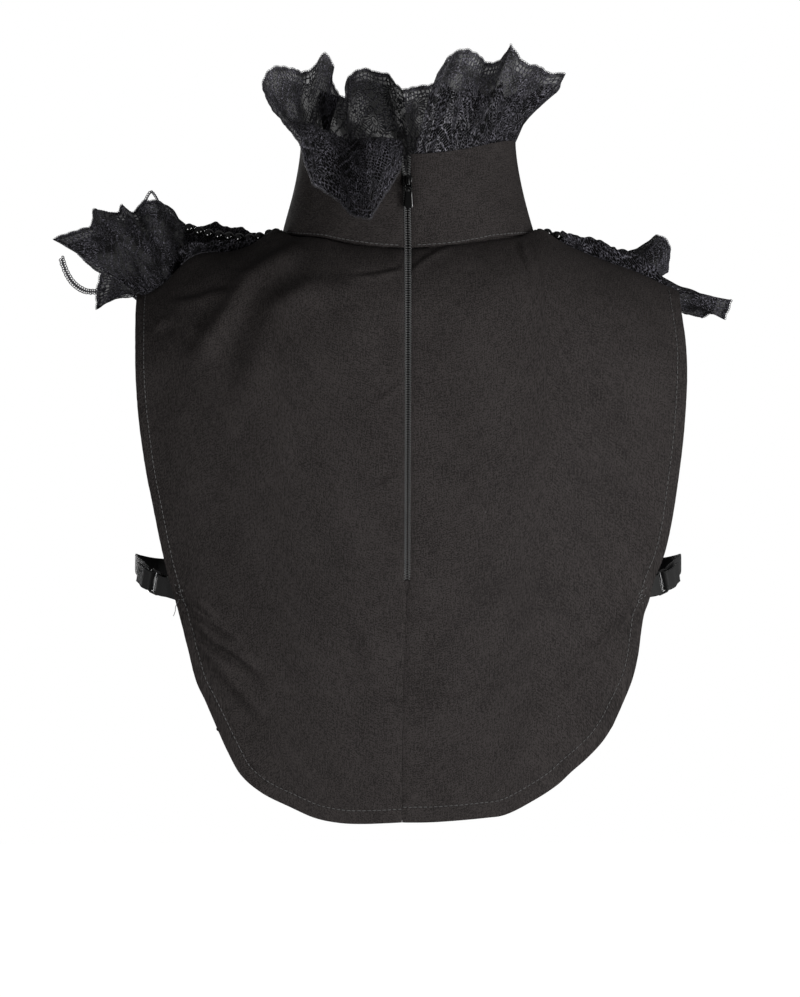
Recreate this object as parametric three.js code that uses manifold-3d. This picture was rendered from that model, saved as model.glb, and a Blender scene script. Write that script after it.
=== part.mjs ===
// Ruffle collar: a black cotton half blouse with a tall stand collar, a lace ruffle round its top,
// a lace ruffle and a string of beads along each shoulder, a zip down the centre back, and an
// adjustable strap under each arm. It is modelled as worn, in millimetres.
// +Z is up, -Y is the wearer's front and +X the wearer's left. The origin is the middle of the neck,
// level with the seam that joins the stand collar to the body.
import * as THREE from "three";
import { mergeVertices } from "three/addons/utils/BufferGeometryUtils.js";
import Module from "manifold-3d";

const wasm = await Module();
wasm.setup();

// Driving dimensions
const CLOTH_WALL = 1.2;
const BAND_WALL = 1.6;
const LACE_WALL = 1.0;
const GAP = 0.3; // between two pieces that are sewn or pressed together

const NECK_HALF_WIDTH = 79; // of the collar seam, seen from above
const NECK_BACK_DEPTH = 66;
const NECK_FRONT_DEPTH = 62;
const RIDGE_Y = -4; // the shoulder seam runs along this line
const SHOULDER_SEAM_GAP = 0.65; // from the shoulder seam to each panel's outer face
const SHOULDER_HALF = 168; // centre back to the armhole edge
const BACK_ROUND = 60; // height over which the back turns over the shoulder
const FRONT_ROUND = 110;

const COLLAR_TOP_HALF_WIDTH = 67;
const COLLAR_TOP_BACK_DEPTH = 57;
const COLLAR_TOP_FRONT_DEPTH = 58;
const COLLAR_FLARE = 1.5; // how late the flare towards the shoulders starts
const BAND_LIFT = 2.3; // the collar's lower edge above the body's own surface

const ZIP_BOTTOM_Z = -205;
const ZIP_HALF_GAP = 2.2; // from the centre line to the cloth on each side of the zip
const ZIP_TOP_HALF_GAP = 3.6; // the open corners above the slider
const SEAM_HALF_GAP = 0.35; // below the zip
const COIL_RADIUS = 0.8;
const TAPE_WIDTH = 11;
const TAPE_WALL = 0.7;

const BEAD_RADIUS = 3.2;
const BEAD_BORE = 1;
const BEAD_GAP = 0.3;
const BEADS_A_SIDE = 9;
const THREAD_RADIUS = 0.35;

const STRAP_WIDTH = 12;
const STRAP_WALL = 1.0;

// Half the outline of the front and back, from the shoulder tip to the centre of the hem
const OUTLINE = [
  { x: 168, z: -24 },
  { x: 168, z: -60 },
  { x: 167, z: -110 },
  { x: 161, z: -148 },
  { x: 148, z: -200 },
  { x: 138, z: -240 },
  { x: 130, z: -275 },
  { x: 115, z: -304 },
  { x: 95, z: -327 },
  { x: 66, z: -343 },
  { x: 33, z: -350 },
  { x: 0, z: -351 },
];
const OUTLINE_CORNER = 7; // the row where the side ends and the hem begins

// The spine and the chest at each height, and how far the cloth falls back towards the armhole
const BACK_PROFILE = [
  { z: 20, depth: 90, fall: 52 },
  { z: -40, depth: 91, fall: 51 },
  { z: -80, depth: 97, fall: 50 },
  { z: -120, depth: 100, fall: 49 },
  { z: -170, depth: 97, fall: 54 },
  { z: -208, depth: 92, fall: 60 },
  { z: -260, depth: 83, fall: 48 },
  { z: -352, depth: 68, fall: 40 },
];
const FRONT_PROFILE = [
  { z: 20, depth: -86, fall: 54 },
  { z: -60, depth: -89, fall: 54 },
  { z: -110, depth: -106, fall: 62 },
  { z: -160, depth: -119, fall: 72 },
  { z: -208, depth: -116, fall: 72 },
  { z: -260, depth: -104, fall: 56 },
  { z: -352, depth: -90, fall: 46 },
];
const BACK_POWER = 2.2; // a higher power keeps the middle flatter
const FRONT_POWER = 3;

// The collar ruffle's free edge, from the zip round the wearer's right, front and left. "at" is the
// place on the collar's top in degrees from the zip, x, y and z the edge there, "rise" how much the
// lace arches on the way, and "round" is 1 where the edge turns softly and 0 at a point.
const COLLAR_RUFFLE = [
  { at: 3, x: -18, y: 62, z: 104, rise: 8, round: 0 },
  { at: 10, x: -25, y: 58, z: 115, rise: 6, round: 1 },
  { at: 17, x: -34, y: 60, z: 119, rise: 4, round: 1 },
  { at: 24, x: -42, y: 50, z: 117, rise: 4, round: 1 },
  { at: 30, x: -48, y: 38, z: 113, rise: 4, round: 0 },
  { at: 36, x: -56, y: 48, z: 114, rise: 4, round: 1 },
  { at: 42, x: -62, y: 58, z: 122, rise: 4, round: 0 },
  { at: 48, x: -70, y: 55, z: 112, rise: 4, round: 1 },
  { at: 54, x: -79, y: 48, z: 110, rise: 3, round: 1 },
  { at: 60, x: -86, y: 36, z: 107, rise: 2, round: 0 },
  { at: 65, x: -96, y: 36, z: 107, rise: 0, round: 0 },
  { at: 71, x: -91, y: 20, z: 97, rise: 4, round: 1 },
  { at: 78, x: -88, y: 4, z: 104, rise: 4, round: 0 },
  { at: 86, x: -80, y: -14, z: 96, rise: 8, round: 1 },
  { at: 94, x: -86, y: -32, z: 107, rise: 4, round: 0 },
  { at: 102, x: -73, y: -38, z: 99, rise: 8, round: 1 },
  { at: 110, x: -77, y: -62, z: 111, rise: 4, round: 0 },
  { at: 118, x: -62, y: -56, z: 101, rise: 8, round: 1 },
  { at: 126, x: -61, y: -84, z: 114, rise: 4, round: 0 },
  { at: 134, x: -49, y: -68, z: 103, rise: 8, round: 1 },
  { at: 142, x: -43, y: -98, z: 115, rise: 4, round: 0 },
  { at: 150, x: -32, y: -76, z: 106, rise: 8, round: 1 },
  { at: 158, x: -23, y: -100, z: 116, rise: 4, round: 0 },
  { at: 165, x: -13, y: -84, z: 112, rise: 6, round: 1 },
  { at: 171, x: -5, y: -84, z: 111, rise: 5, round: 1 },
  { at: 177, x: 3, y: -74, z: 108, rise: 6, round: 0 },
  { at: 182, x: 8, y: -82, z: 113, rise: 5, round: 1 },
  { at: 187, x: 13, y: -90, z: 120, rise: 4, round: 1 },
  { at: 193, x: 20, y: -92, z: 121, rise: 4, round: 0 },
  { at: 198, x: 28, y: -96, z: 124, rise: 4, round: 1 },
  { at: 204, x: 35, y: -92, z: 121, rise: 4, round: 1 },
  { at: 210, x: 40, y: -84, z: 114, rise: 5, round: 1 },
  { at: 216, x: 40, y: -64, z: 102, rise: 8, round: 0 },
  { at: 223, x: 55, y: -72, z: 107, rise: 4, round: 0 },
  { at: 231, x: 57, y: -44, z: 99, rise: 8, round: 1 },
  { at: 238, x: 44, y: -30, z: 99, rise: 5, round: 1 },
  { at: 244, x: 48, y: -12, z: 107, rise: 4, round: 1 },
  { at: 249, x: 47, y: -2, z: 116, rise: 4, round: 1 },
  { at: 254, x: 52, y: 2, z: 124, rise: 4, round: 0 },
  { at: 259, x: 59, y: -4, z: 115, rise: 4, round: 1 },
  { at: 264, x: 66, y: -8, z: 112, rise: 4, round: 0 },
  { at: 269, x: 73, y: 8, z: 113, rise: 3, round: 1 },
  { at: 274, x: 82, y: 18, z: 113, rise: 2, round: 1 },
  { at: 279, x: 88, y: 24, z: 107, rise: 1, round: 1 },
  { at: 284, x: 89, y: 30, z: 98, rise: 2, round: 1 },
  { at: 289, x: 84, y: 46, z: 86, rise: 6, round: 1 },
  { at: 295, x: 76, y: 62, z: 75, rise: 12, round: 1 },
  { at: 302, x: 67, y: 74, z: 63, rise: 22, round: 1 },
  { at: 309, x: 63, y: 80, z: 51, rise: 32, round: 1 },
  { at: 316, x: 58, y: 82, z: 37, rise: 40, round: 0 },
  { at: 323, x: 50, y: 80, z: 32, rise: 42, round: 1 },
  { at: 330, x: 42, y: 80, z: 27, rise: 42, round: 1 },
  { at: 336, x: 34, y: 82, z: 18, rise: 42, round: 1 },
  { at: 341, x: 23, y: 82, z: 14, rise: 40, round: 0 },
  { at: 346, x: 17, y: 80, z: 25, rise: 38, round: 1 },
  { at: 350, x: 11, y: 78, z: 35, rise: 34, round: 1 },
  { at: 354, x: 6, y: 76, z: 44, rise: 28, round: 1 },
  { at: 357, x: 4, y: 72, z: 51, rise: 22, round: 0 },
];

// The shoulder ruffles' folds, from the neck out to the armhole. "seat_x" and "seat_y" are where
// the lace is sewn to the shoulder, and the other columns are as for the collar ruffle.
const LEFT_RUFFLE = [
  { seat_x: 88, seat_y: -11, x: 88, y: -50, z: -4, rise: 12, round: 0 },
  { seat_x: 97, seat_y: -11, x: 100, y: -60, z: -12, rise: 19, round: 1 },
  { seat_x: 105, seat_y: -11, x: 104, y: -70, z: -2, rise: 20, round: 0 },
  { seat_x: 113, seat_y: -11, x: 116, y: -64, z: -14, rise: 30, round: 1 },
  { seat_x: 121, seat_y: -11, x: 122, y: -70, z: 0, rise: 30, round: 0 },
  { seat_x: 128, seat_y: -11, x: 134, y: -60, z: -8, rise: 36, round: 1 },
  { seat_x: 134, seat_y: -10, x: 138, y: -56, z: 4, rise: 32, round: 0 },
  { seat_x: 139, seat_y: -6, x: 146, y: -38, z: 25, rise: 12, round: 1 },
  { seat_x: 143, seat_y: 2, x: 155, y: -22, z: 32, rise: 6, round: 1 },
  { seat_x: 146, seat_y: 9, x: 161, y: -12, z: 39, rise: 5, round: 0 },
  { seat_x: 148, seat_y: 13, x: 166, y: -16, z: 32, rise: 5, round: 1 },
  { seat_x: 149, seat_y: 16, x: 173, y: -20, z: 26, rise: 5, round: 1 },
  { seat_x: 151, seat_y: 18, x: 179, y: -12, z: 30, rise: 5, round: 0 },
  { seat_x: 153, seat_y: 19.5, x: 182, y: -16, z: 25, rise: 5, round: 1 },
  { seat_x: 155, seat_y: 20, x: 189, y: -14, z: 26, rise: 5, round: 1 },
  { seat_x: 157, seat_y: 20.5, x: 196, y: -8, z: 27, rise: 4, round: 0 },
  { seat_x: 159, seat_y: 20.5, x: 198, y: -12, z: 17, rise: 4, round: 1 },
  { seat_x: 161, seat_y: 20, x: 206, y: -8, z: 14, rise: 3, round: 1 },
  { seat_x: 164, seat_y: 18, x: 221, y: -2, z: 8, rise: 1, round: 0 },
  { seat_x: 166, seat_y: 14, x: 210, y: 4, z: 2, rise: 1, round: 1 },
  { seat_x: 167, seat_y: 10, x: 203, y: 6, z: -3, rise: 1, round: 1 },
  { seat_x: 167.5, seat_y: 5, x: 197, y: 4, z: -9, rise: 2, round: 1 },
  { seat_x: 167.5, seat_y: 0, x: 191, y: -2, z: -13, rise: 3, round: 0 },
  { seat_x: 167.5, seat_y: -5, x: 194, y: -10, z: -23, rise: 4, round: 1 },
  { seat_x: 167.5, seat_y: -9, x: 195, y: -18, z: -34, rise: 4, round: 0 },
  { seat_x: 167.5, seat_y: -14, x: 187, y: -32, z: -28, rise: 6, round: 1 },
  { seat_x: 167.5, seat_y: -19, x: 175, y: -44, z: -25, rise: 8, round: 0 },
];
const RIGHT_RUFFLE = [
  { seat_x: -88, seat_y: -11, x: -88, y: -48, z: -2, rise: 8, round: 0 },
  { seat_x: -96, seat_y: -11, x: -99, y: -58, z: -14, rise: 12, round: 1 },
  { seat_x: -104, seat_y: -11, x: -106, y: -66, z: -4, rise: 12, round: 0 },
  { seat_x: -112, seat_y: -11, x: -116, y: -60, z: -20, rise: 17, round: 1 },
  { seat_x: -120, seat_y: -11, x: -124, y: -66, z: -6, rise: 14, round: 0 },
  { seat_x: -128, seat_y: -11, x: -134, y: -58, z: -18, rise: 18, round: 1 },
  { seat_x: -134, seat_y: -11, x: -144, y: -46, z: 3, rise: 10, round: 0 },
  { seat_x: -140, seat_y: -11, x: -150, y: -36, z: 8, rise: 7, round: 1 },
  { seat_x: -145, seat_y: -11, x: -156, y: -26, z: 12, rise: 5, round: 1 },
  { seat_x: -149, seat_y: -11, x: -163, y: -24, z: 8, rise: 4, round: 1 },
  { seat_x: -152, seat_y: -11, x: -165, y: -30, z: 0, rise: 4, round: 1 },
  { seat_x: -155, seat_y: -11, x: -164, y: -38, z: -10, rise: 5, round: 0 },
  { seat_x: -158, seat_y: -11, x: -160, y: -34, z: -13, rise: 4, round: 0 },
  { seat_x: -160.5, seat_y: -11, x: -168, y: -28, z: -18, rise: 3, round: 1 },
  { seat_x: -163, seat_y: -11, x: -177, y: -22, z: -22, rise: 3, round: 1 },
  { seat_x: -165, seat_y: -11, x: -188, y: -18, z: -26, rise: 3, round: 1 },
  { seat_x: -166.5, seat_y: -12, x: -202, y: -14, z: -29, rise: 2, round: 0 },
  { seat_x: -167.5, seat_y: -14, x: -198, y: -20, z: -41, rise: 3, round: 0 },
  { seat_x: -167.5, seat_y: -16.5, x: -191, y: -26, z: -37, rise: 4, round: 1 },
  { seat_x: -167.5, seat_y: -18.5, x: -185, y: -32, z: -39, rise: 4, round: 0 },
  { seat_x: -167.5, seat_y: -20.5, x: -174, y: -40, z: -36, rise: 6, round: 1 },
  { seat_x: -167, seat_y: -22, x: -171, y: -48, z: -29, rise: 8, round: 0 },
];

// The bead strings, from the neck outwards
const LEFT_STRAND = [
  { x: 83, y: -6, z: 12.6 },
  { x: 91, y: -6, z: 10.3 },
  { x: 98.5, y: -6, z: 8.8 },
  { x: 111, y: -6, z: 9.8 },
  { x: 118, y: -6, z: 10.7 },
  { x: 125, y: -6, z: 11.9 },
  { x: 133, y: -6, z: 14 },
  { x: 142, y: -5, z: 17 },
];
const RIGHT_STRAND = [
  { x: -83, y: -6, z: 13 },
  { x: -92.5, y: -6, z: 10.4 },
  { x: -101, y: -6, z: 7.4 },
  { x: -110, y: -6, z: 3.9 },
  { x: -120, y: -6, z: 0 },
  { x: -130, y: -6, z: -3.9 },
  { x: -142, y: -6, z: -9 },
];

// The strap's route under one arm, between the back panel's edge and the front's, and the places
// where its two ends lie under those panels
const STRAP_ROUTE = [
  { x: 156, y: 33, z: -203 },
  { x: 166, y: 16, z: -199 },
  { x: 172, y: -8, z: -196 },
  { x: 171, y: -32, z: -196 },
  { x: 163, y: -51, z: -197 },
];
const STRAP_BACK_ENDS = [{ x: 134, z: -207 }, { x: 145, z: -205.5 }];
const STRAP_FRONT_ENDS = [{ x: 147, z: -199 }, { x: 136, z: -201 }];

// Materials
const cotton = new THREE.MeshStandardMaterial({ color: 0x2b2928, roughness: 0.9 });
const lace = new THREE.MeshStandardMaterial({ color: 0x1d1c20, roughness: 0.7 });
const zipTape = new THREE.MeshStandardMaterial({ color: 0x17161a, roughness: 0.6 });
const blackMetal = new THREE.MeshStandardMaterial({ color: 0x050506, roughness: 0.2, metalness: 0.6 });
const beadGloss = new THREE.MeshStandardMaterial({ color: 0x030304, roughness: 0.08 });
const elastic = new THREE.MeshStandardMaterial({ color: 0x121214, roughness: 0.8 });

const smoothstep = (t) => {
  const s = THREE.MathUtils.clamp(t, 0, 1);
  return s * s * (3 - 2 * s);
};

// A smooth curve of one column against z, through a table's rows, which run downwards.
function column(rows, name) {
  const slope = (i) => {
    const a = rows[Math.max(i - 1, 0)];
    const b = rows[Math.min(i + 1, rows.length - 1)];
    return (b[name] - a[name]) / (b.z - a.z);
  };
  return (z) => {
    const height = THREE.MathUtils.clamp(z, rows[rows.length - 1].z, rows[0].z);
    let i = 0;
    while (i < rows.length - 2 && height < rows[i + 1].z) i += 1;
    const span = rows[i + 1].z - rows[i].z;
    const t = (height - rows[i].z) / span;
    const cubic = t * t * (3 - 2 * t);
    const start = t * (1 - t) * (1 - t) * span * slope(i);
    const end = t * t * (t - 1) * span * slope(i + 1);
    return rows[i][name] * (1 - cubic) + rows[i + 1][name] * cubic + start + end;
  };
}

const BACK = {
  sign: 1,
  round: BACK_ROUND,
  power: BACK_POWER,
  neckDepth: NECK_BACK_DEPTH,
  depth: column(BACK_PROFILE, "depth"),
  fall: column(BACK_PROFILE, "fall"),
};
const FRONT = {
  sign: -1,
  round: FRONT_ROUND,
  power: FRONT_POWER,
  neckDepth: NECK_FRONT_DEPTH,
  depth: column(FRONT_PROFILE, "depth"),
  fall: column(FRONT_PROFILE, "fall"),
};

// Height of the shoulder seam at a distance from the centre.
function ridgeHeight(x) {
  const t = THREE.MathUtils.clamp((Math.abs(x) - 50) / 120, 0, 1.1);
  return 16 - 41 * Math.pow(t, 1.35);
}

function fullDepth(side, x, z) {
  const fall = side.fall(z) * Math.pow(Math.abs(x) / SHOULDER_HALF, side.power);
  return side.depth(z) - side.sign * fall;
}

// The body's surface. "level" is 0 on the shoulder seam, 1 where the cloth has turned over the
// shoulder and hangs, and grows downwards from there at the same rate.
function bodyPoint(side, x, level) {
  const turn = (Math.min(level, 1) * Math.PI) / 2;
  const below = (Math.max(level - 1, 0) * side.round * Math.PI) / 2;
  const z = ridgeHeight(x) - side.round * (1 - Math.cos(turn)) - below;
  const y = RIDGE_Y + (fullDepth(side, x, z) - RIDGE_Y) * Math.sin(turn);
  return new THREE.Vector3(x, y, z);
}

function levelAtHeight(side, x, z) {
  const drop = Math.max(ridgeHeight(x) - z, 0);
  if (drop < side.round) return (Math.acos(1 - drop / side.round) * 2) / Math.PI;
  return 1 + ((drop - side.round) * 2) / (side.round * Math.PI);
}

// The level whose surface lies at a given y, on the part that turns over the shoulder.
function levelAtDepth(side, x, y) {
  let z = ridgeHeight(x);
  let turn = 0;
  for (let i = 0; i < 8; i += 1) {
    turn = Math.asin(Math.min((y - RIDGE_Y) / (fullDepth(side, x, z) - RIDGE_Y), 1));
    z = ridgeHeight(x) - side.round * (1 - Math.cos(turn));
  }
  return (turn * 2) / Math.PI;
}

// The body's surface under a point seen from above.
function surfaceBelow(x, y) {
  const side = y >= RIDGE_Y ? BACK : FRONT;
  return bodyPoint(side, x, levelAtDepth(side, x, y));
}

// The neck seam at an angle from the zip, towards the wearer's right for positive angles.
function neckSeam(angle) {
  const depth = Math.cos(angle) > 0 ? NECK_BACK_DEPTH : NECK_FRONT_DEPTH;
  return surfaceBelow(-NECK_HALF_WIDTH * Math.sin(angle), RIDGE_Y + depth * Math.cos(angle));
}

// Solids

function solidFrom(positions, triangles) {
  const volume = triangles.reduce((sum, [a, b, c]) => {
    const [p, q, r] = [positions[a], positions[b], positions[c]];
    return sum + p.dot(new THREE.Vector3().crossVectors(q, r)) / 6;
  }, 0);
  const facing = volume < 0 ? triangles.map(([a, b, c]) => [a, c, b]) : triangles;
  const geometry = new THREE.BufferGeometry().setFromPoints(positions);
  geometry.setIndex(facing.flat());
  geometry.computeVertexNormals();
  return geometry;
}

// A wall of cloth: a grid of points from pointAt(u, v), thickened along its own normal. "outward"
// is 1 or -1, the side of the surface on which the thickness is added.
function clothWall(pointAt, columns, rows, wall, outward) {
  const inner = [];
  for (let i = 0; i <= columns; i += 1) {
    for (let j = 0; j <= rows; j += 1) inner.push(pointAt(i / columns, j / rows));
  }
  const index = (i, j) => i * (rows + 1) + j;
  const outer = inner.map((point, k) => {
    const [i, j] = [Math.floor(k / (rows + 1)), k % (rows + 1)];
    const across = new THREE.Vector3().subVectors(
      inner[index(Math.min(i + 1, columns), j)],
      inner[index(Math.max(i - 1, 0), j)],
    );
    const down = new THREE.Vector3().subVectors(
      inner[index(i, Math.min(j + 1, rows))],
      inner[index(i, Math.max(j - 1, 0))],
    );
    const normal = across.cross(down).normalize();
    return point.clone().addScaledVector(normal, wall * outward);
  });
  const shift = inner.length;
  const triangles = [];
  const quad = (a, b, c, d) => triangles.push([a, b, c], [a, c, d]);
  for (let i = 0; i < columns; i += 1) {
    for (let j = 0; j < rows; j += 1) {
      const corners = [index(i, j), index(i + 1, j), index(i + 1, j + 1), index(i, j + 1)];
      quad(...corners);
      quad(...corners.map((k) => k + shift).reverse());
    }
  }
  const rim = [];
  for (let i = 0; i < columns; i += 1) rim.push(index(i, 0));
  for (let j = 0; j < rows; j += 1) rim.push(index(columns, j));
  for (let i = columns; i > 0; i -= 1) rim.push(index(i, rows));
  for (let j = rows; j > 0; j -= 1) rim.push(index(0, j));
  rim.forEach((a, k) => {
    const b = rim[(k + 1) % rim.length];
    quad(b, a, a + shift, b + shift);
  });
  return solidFrom([...inner, ...outer], triangles);
}

// A round bar along a curve.
function bar(curve, radius, sides, steps) {
  const section = new THREE.Shape().absarc(0, 0, radius, 0, Math.PI * 2);
  return new THREE.ExtrudeGeometry(section, {
    extrudePath: curve,
    steps,
    curveSegments: sides,
    bevelEnabled: false,
  });
}

function manifoldOf(geometry) {
  const bare = geometry.clone();
  bare.deleteAttribute("normal");
  bare.deleteAttribute("uv");
  const merged = mergeVertices(bare, 1e-4);
  return new wasm.Manifold(
    new wasm.Mesh({
      numProp: 3,
      vertProperties: merged.attributes.position.array,
      triVerts: new Uint32Array(merged.index.array),
    }),
  );
}

function geometryOf(solid) {
  const mesh = solid.getMesh();
  const geometry = new THREE.BufferGeometry();
  geometry.setAttribute("position", new THREE.BufferAttribute(mesh.vertProperties, 3));
  geometry.setIndex(new THREE.BufferAttribute(mesh.triVerts, 1));
  return geometry;
}

function joined(...geometries) {
  return geometryOf(geometries.map(manifoldOf).reduce((a, b) => a.add(b)));
}

function cut(geometry, ...holes) {
  return geometryOf(holes.map(manifoldOf).reduce((a, b) => a.subtract(b), manifoldOf(geometry)));
}

const part = new THREE.Group();

function addPiece(name, geometry, material, parent = part) {
  const mesh = new THREE.Mesh(geometry, material);
  mesh.name = name;
  parent.add(mesh);
  return mesh;
}

// Front and back panels

const outlineCurve = (from, to) =>
  new THREE.SplineCurve(OUTLINE.slice(from, to + 1).map((p) => new THREE.Vector2(p.x, p.z)));
const sideCurve = outlineCurve(0, OUTLINE_CORNER);
const hemCurve = outlineCurve(OUTLINE_CORNER, OUTLINE.length - 1);

function centreHalfGap(side, z) {
  if (side === FRONT) return 0;
  const open = smoothstep((z - ZIP_BOTTOM_Z) / 8 + 1);
  return SEAM_HALF_GAP + (ZIP_HALF_GAP - SEAM_HALF_GAP) * open;
}

// One half of a panel: u runs from the centre to the armhole and v from the top to the hem. Its
// four edges are blended on the flat plan of the cloth, in x and level, and then laid on the body.
function halfPanel(side) {
  const seamLevel = (x) => levelAtDepth(side, x, RIDGE_Y + side.sign * SHOULDER_SEAM_GAP);
  const fromOutline = (curve, t) => {
    const p = curve.getPoint(t);
    return new THREE.Vector2(p.x, Math.max(levelAtHeight(side, p.x, p.y), seamLevel(p.x)));
  };
  const top = (u) => {
    if (u > 0.5) {
      const x = NECK_HALF_WIDTH + (SHOULDER_HALF - NECK_HALF_WIDTH) * (u - 0.5) * 2;
      return new THREE.Vector2(x, seamLevel(x));
    }
    const first = Math.asin(centreHalfGap(side, 0) / NECK_HALF_WIDTH);
    const angle = first + (Math.PI / 2 - first) * u * 2;
    const x = NECK_HALF_WIDTH * Math.sin(angle);
    const y = RIDGE_Y + side.sign * side.neckDepth * Math.cos(angle);
    return new THREE.Vector2(x, Math.max(levelAtDepth(side, x, y), seamLevel(x)));
  };
  const hem = (u) => {
    const p = fromOutline(hemCurve, 1 - u);
    const gap = centreHalfGap(side, OUTLINE[OUTLINE.length - 1].z);
    return new THREE.Vector2(Math.max(p.x, gap), p.y);
  };
  const armhole = (v) => fromOutline(sideCurve, v);
  const centre = (v) => {
    const level = THREE.MathUtils.lerp(top(0).y, hem(0).y, v);
    const z = bodyPoint(side, 0, level).z;
    return new THREE.Vector2(centreHalfGap(side, z), level);
  };
  return (u, v) => {
    const across = centre(v).multiplyScalar(1 - u).addScaledVector(armhole(v), u);
    const along = top(u).multiplyScalar(1 - v).addScaledVector(hem(u), v);
    const corners = top(0).multiplyScalar((1 - u) * (1 - v));
    corners.addScaledVector(top(1), u * (1 - v));
    corners.addScaledVector(hem(0), (1 - u) * v);
    corners.addScaledVector(hem(1), u * v);
    const flat = across.add(along).sub(corners);
    return bodyPoint(side, flat.x, flat.y);
  };
}

const mirrorX = (point) => new THREE.Vector3(-point.x, point.y, point.z);

function addPanels() {
  const backHalf = halfPanel(BACK);
  const frontHalf = halfPanel(FRONT);
  const backRight = (u, v) => mirrorX(backHalf(u, v));
  const wholeFront = (u, v) => {
    const half = frontHalf(Math.abs(2 * u - 1), v);
    return u < 0.5 ? mirrorX(half) : half;
  };
  addPiece("back_panel_left", clothWall(backHalf, 12, 22, CLOTH_WALL, -1), cotton);
  addPiece("back_panel_right", clothWall(backRight, 12, 22, CLOTH_WALL, 1), cotton);
  addPiece("front_bib", clothWall(wholeFront, 24, 18, CLOTH_WALL, 1), cotton);
}

// Stand collar

function collarTop(angle) {
  const depth = Math.cos(angle) > 0 ? COLLAR_TOP_BACK_DEPTH : COLLAR_TOP_FRONT_DEPTH;
  return new THREE.Vector3(
    -COLLAR_TOP_HALF_WIDTH * Math.sin(angle),
    RIDGE_Y + depth * Math.cos(angle),
    57.9 + 8.3 * Math.cos(angle) - 9.6 * Math.cos(2 * angle),
  );
}

// The collar's outer face: "height" is 0 on the seam and 1 on the top edge.
function collarPoint(angle, height) {
  const low = neckSeam(angle);
  low.z += BAND_LIFT;
  const high = collarTop(angle);
  const flare = Math.pow(1 - height, COLLAR_FLARE);
  return new THREE.Vector3(
    high.x + (low.x - high.x) * flare,
    high.y + (low.y - high.y) * flare,
    low.z + (high.z - low.z) * height,
  );
}

function addCollarBand() {
  const pointAt = (u, v) => {
    const halfGap = THREE.MathUtils.lerp(ZIP_HALF_GAP, ZIP_TOP_HALF_GAP, v);
    const radius = THREE.MathUtils.lerp(NECK_HALF_WIDTH, COLLAR_TOP_HALF_WIDTH, v);
    const first = Math.asin(halfGap / radius);
    return collarPoint(first + (2 * Math.PI - 2 * first) * u, v);
  };
  addPiece("collar_band", clothWall(pointAt, 44, 4, BAND_WALL, -1), cotton);
}

// Ruffles

// A ruffle from a table of folds. seatAt gives the sewn edge for a row's own columns, and the lace
// goes from there to the free edge in a curve that "rise" lifts.
function ruffle(rows, seatColumns, seatAt) {
  const edges = rows.map((row) => new THREE.Vector3(row.x, row.y, row.z));
  const slopeAt = (i, start) => {
    const inside = i > 0 && i < rows.length - 1;
    if (inside && rows[i].round) return edges[i + 1].clone().sub(edges[i - 1]).divideScalar(2);
    return edges[start + 1].clone().sub(edges[start]);
  };
  const edgeAt = (i, t) => {
    const point = edges[i].clone().multiplyScalar((1 + 2 * t) * (1 - t) * (1 - t));
    point.addScaledVector(slopeAt(i, i), t * (1 - t) * (1 - t));
    point.addScaledVector(edges[i + 1], t * t * (3 - 2 * t));
    return point.addScaledVector(slopeAt(i + 1, i), t * t * (t - 1));
  };
  return (u, v) => {
    const place = u * (rows.length - 1);
    const i = Math.min(Math.floor(place), rows.length - 2);
    const t = place - i;
    const even = (name) => THREE.MathUtils.lerp(rows[i][name], rows[i + 1][name], t);
    const seat = seatAt(...seatColumns.map(even));
    const edge = edgeAt(i, t);
    const bend = seat.clone().lerp(edge, 0.45);
    bend.z += even("rise");
    const first = seat.clone().lerp(bend, v);
    return first.lerp(bend.clone().lerp(edge, v), v);
  };
}

function collarRuffle() {
  return ruffle(COLLAR_RUFFLE, ["at"], (at) => {
    const angle = THREE.MathUtils.degToRad(at);
    const seat = collarTop(angle);
    const out = new THREE.Vector3(seat.x, seat.y - RIDGE_Y, 0).normalize();
    seat.addScaledVector(out, -(BAND_WALL + LACE_WALL) / 2);
    seat.z += GAP + 0.8;
    return seat;
  });
}

function shoulderRuffle(rows) {
  return ruffle(rows, ["seat_x", "seat_y"], (x, y) => {
    const seat = surfaceBelow(x, y);
    seat.z += GAP + LACE_WALL + 0.7;
    return seat;
  });
}

function addRuffles() {
  const perFold = 2;
  const steps = (rows) => (rows.length - 1) * perFold;
  addPiece("collar_ruffle", clothWall(collarRuffle(), steps(COLLAR_RUFFLE), 4, LACE_WALL, 1), lace);
  for (const [name, rows, outward] of [["left", LEFT_RUFFLE, 1], ["right", RIGHT_RUFFLE, -1]]) {
    const solid = clothWall(shoulderRuffle(rows), steps(rows), 5, LACE_WALL, outward);
    addPiece("shoulder_ruffle_" + name, solid, lace);
  }
}

// Beads along each shoulder, on a thread

function strandCurve(rows) {
  const points = rows.map((p) => new THREE.Vector3(p.x, p.y, p.z));
  return new THREE.CatmullRomCurve3(points, false, "centripetal");
}

function beadGeometry() {
  const profile = [];
  const arcs = 6;
  const start = Math.asin(BEAD_BORE / BEAD_RADIUS);
  for (let k = 0; k <= arcs; k += 1) {
    const angle = start + ((Math.PI - 2 * start) * k) / arcs;
    const x = BEAD_RADIUS * Math.sin(angle);
    profile.push(new THREE.Vector2(x, -BEAD_RADIUS * Math.cos(angle)));
  }
  profile.push(profile[0].clone());
  return new THREE.LatheGeometry(profile, 10);
}

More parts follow.
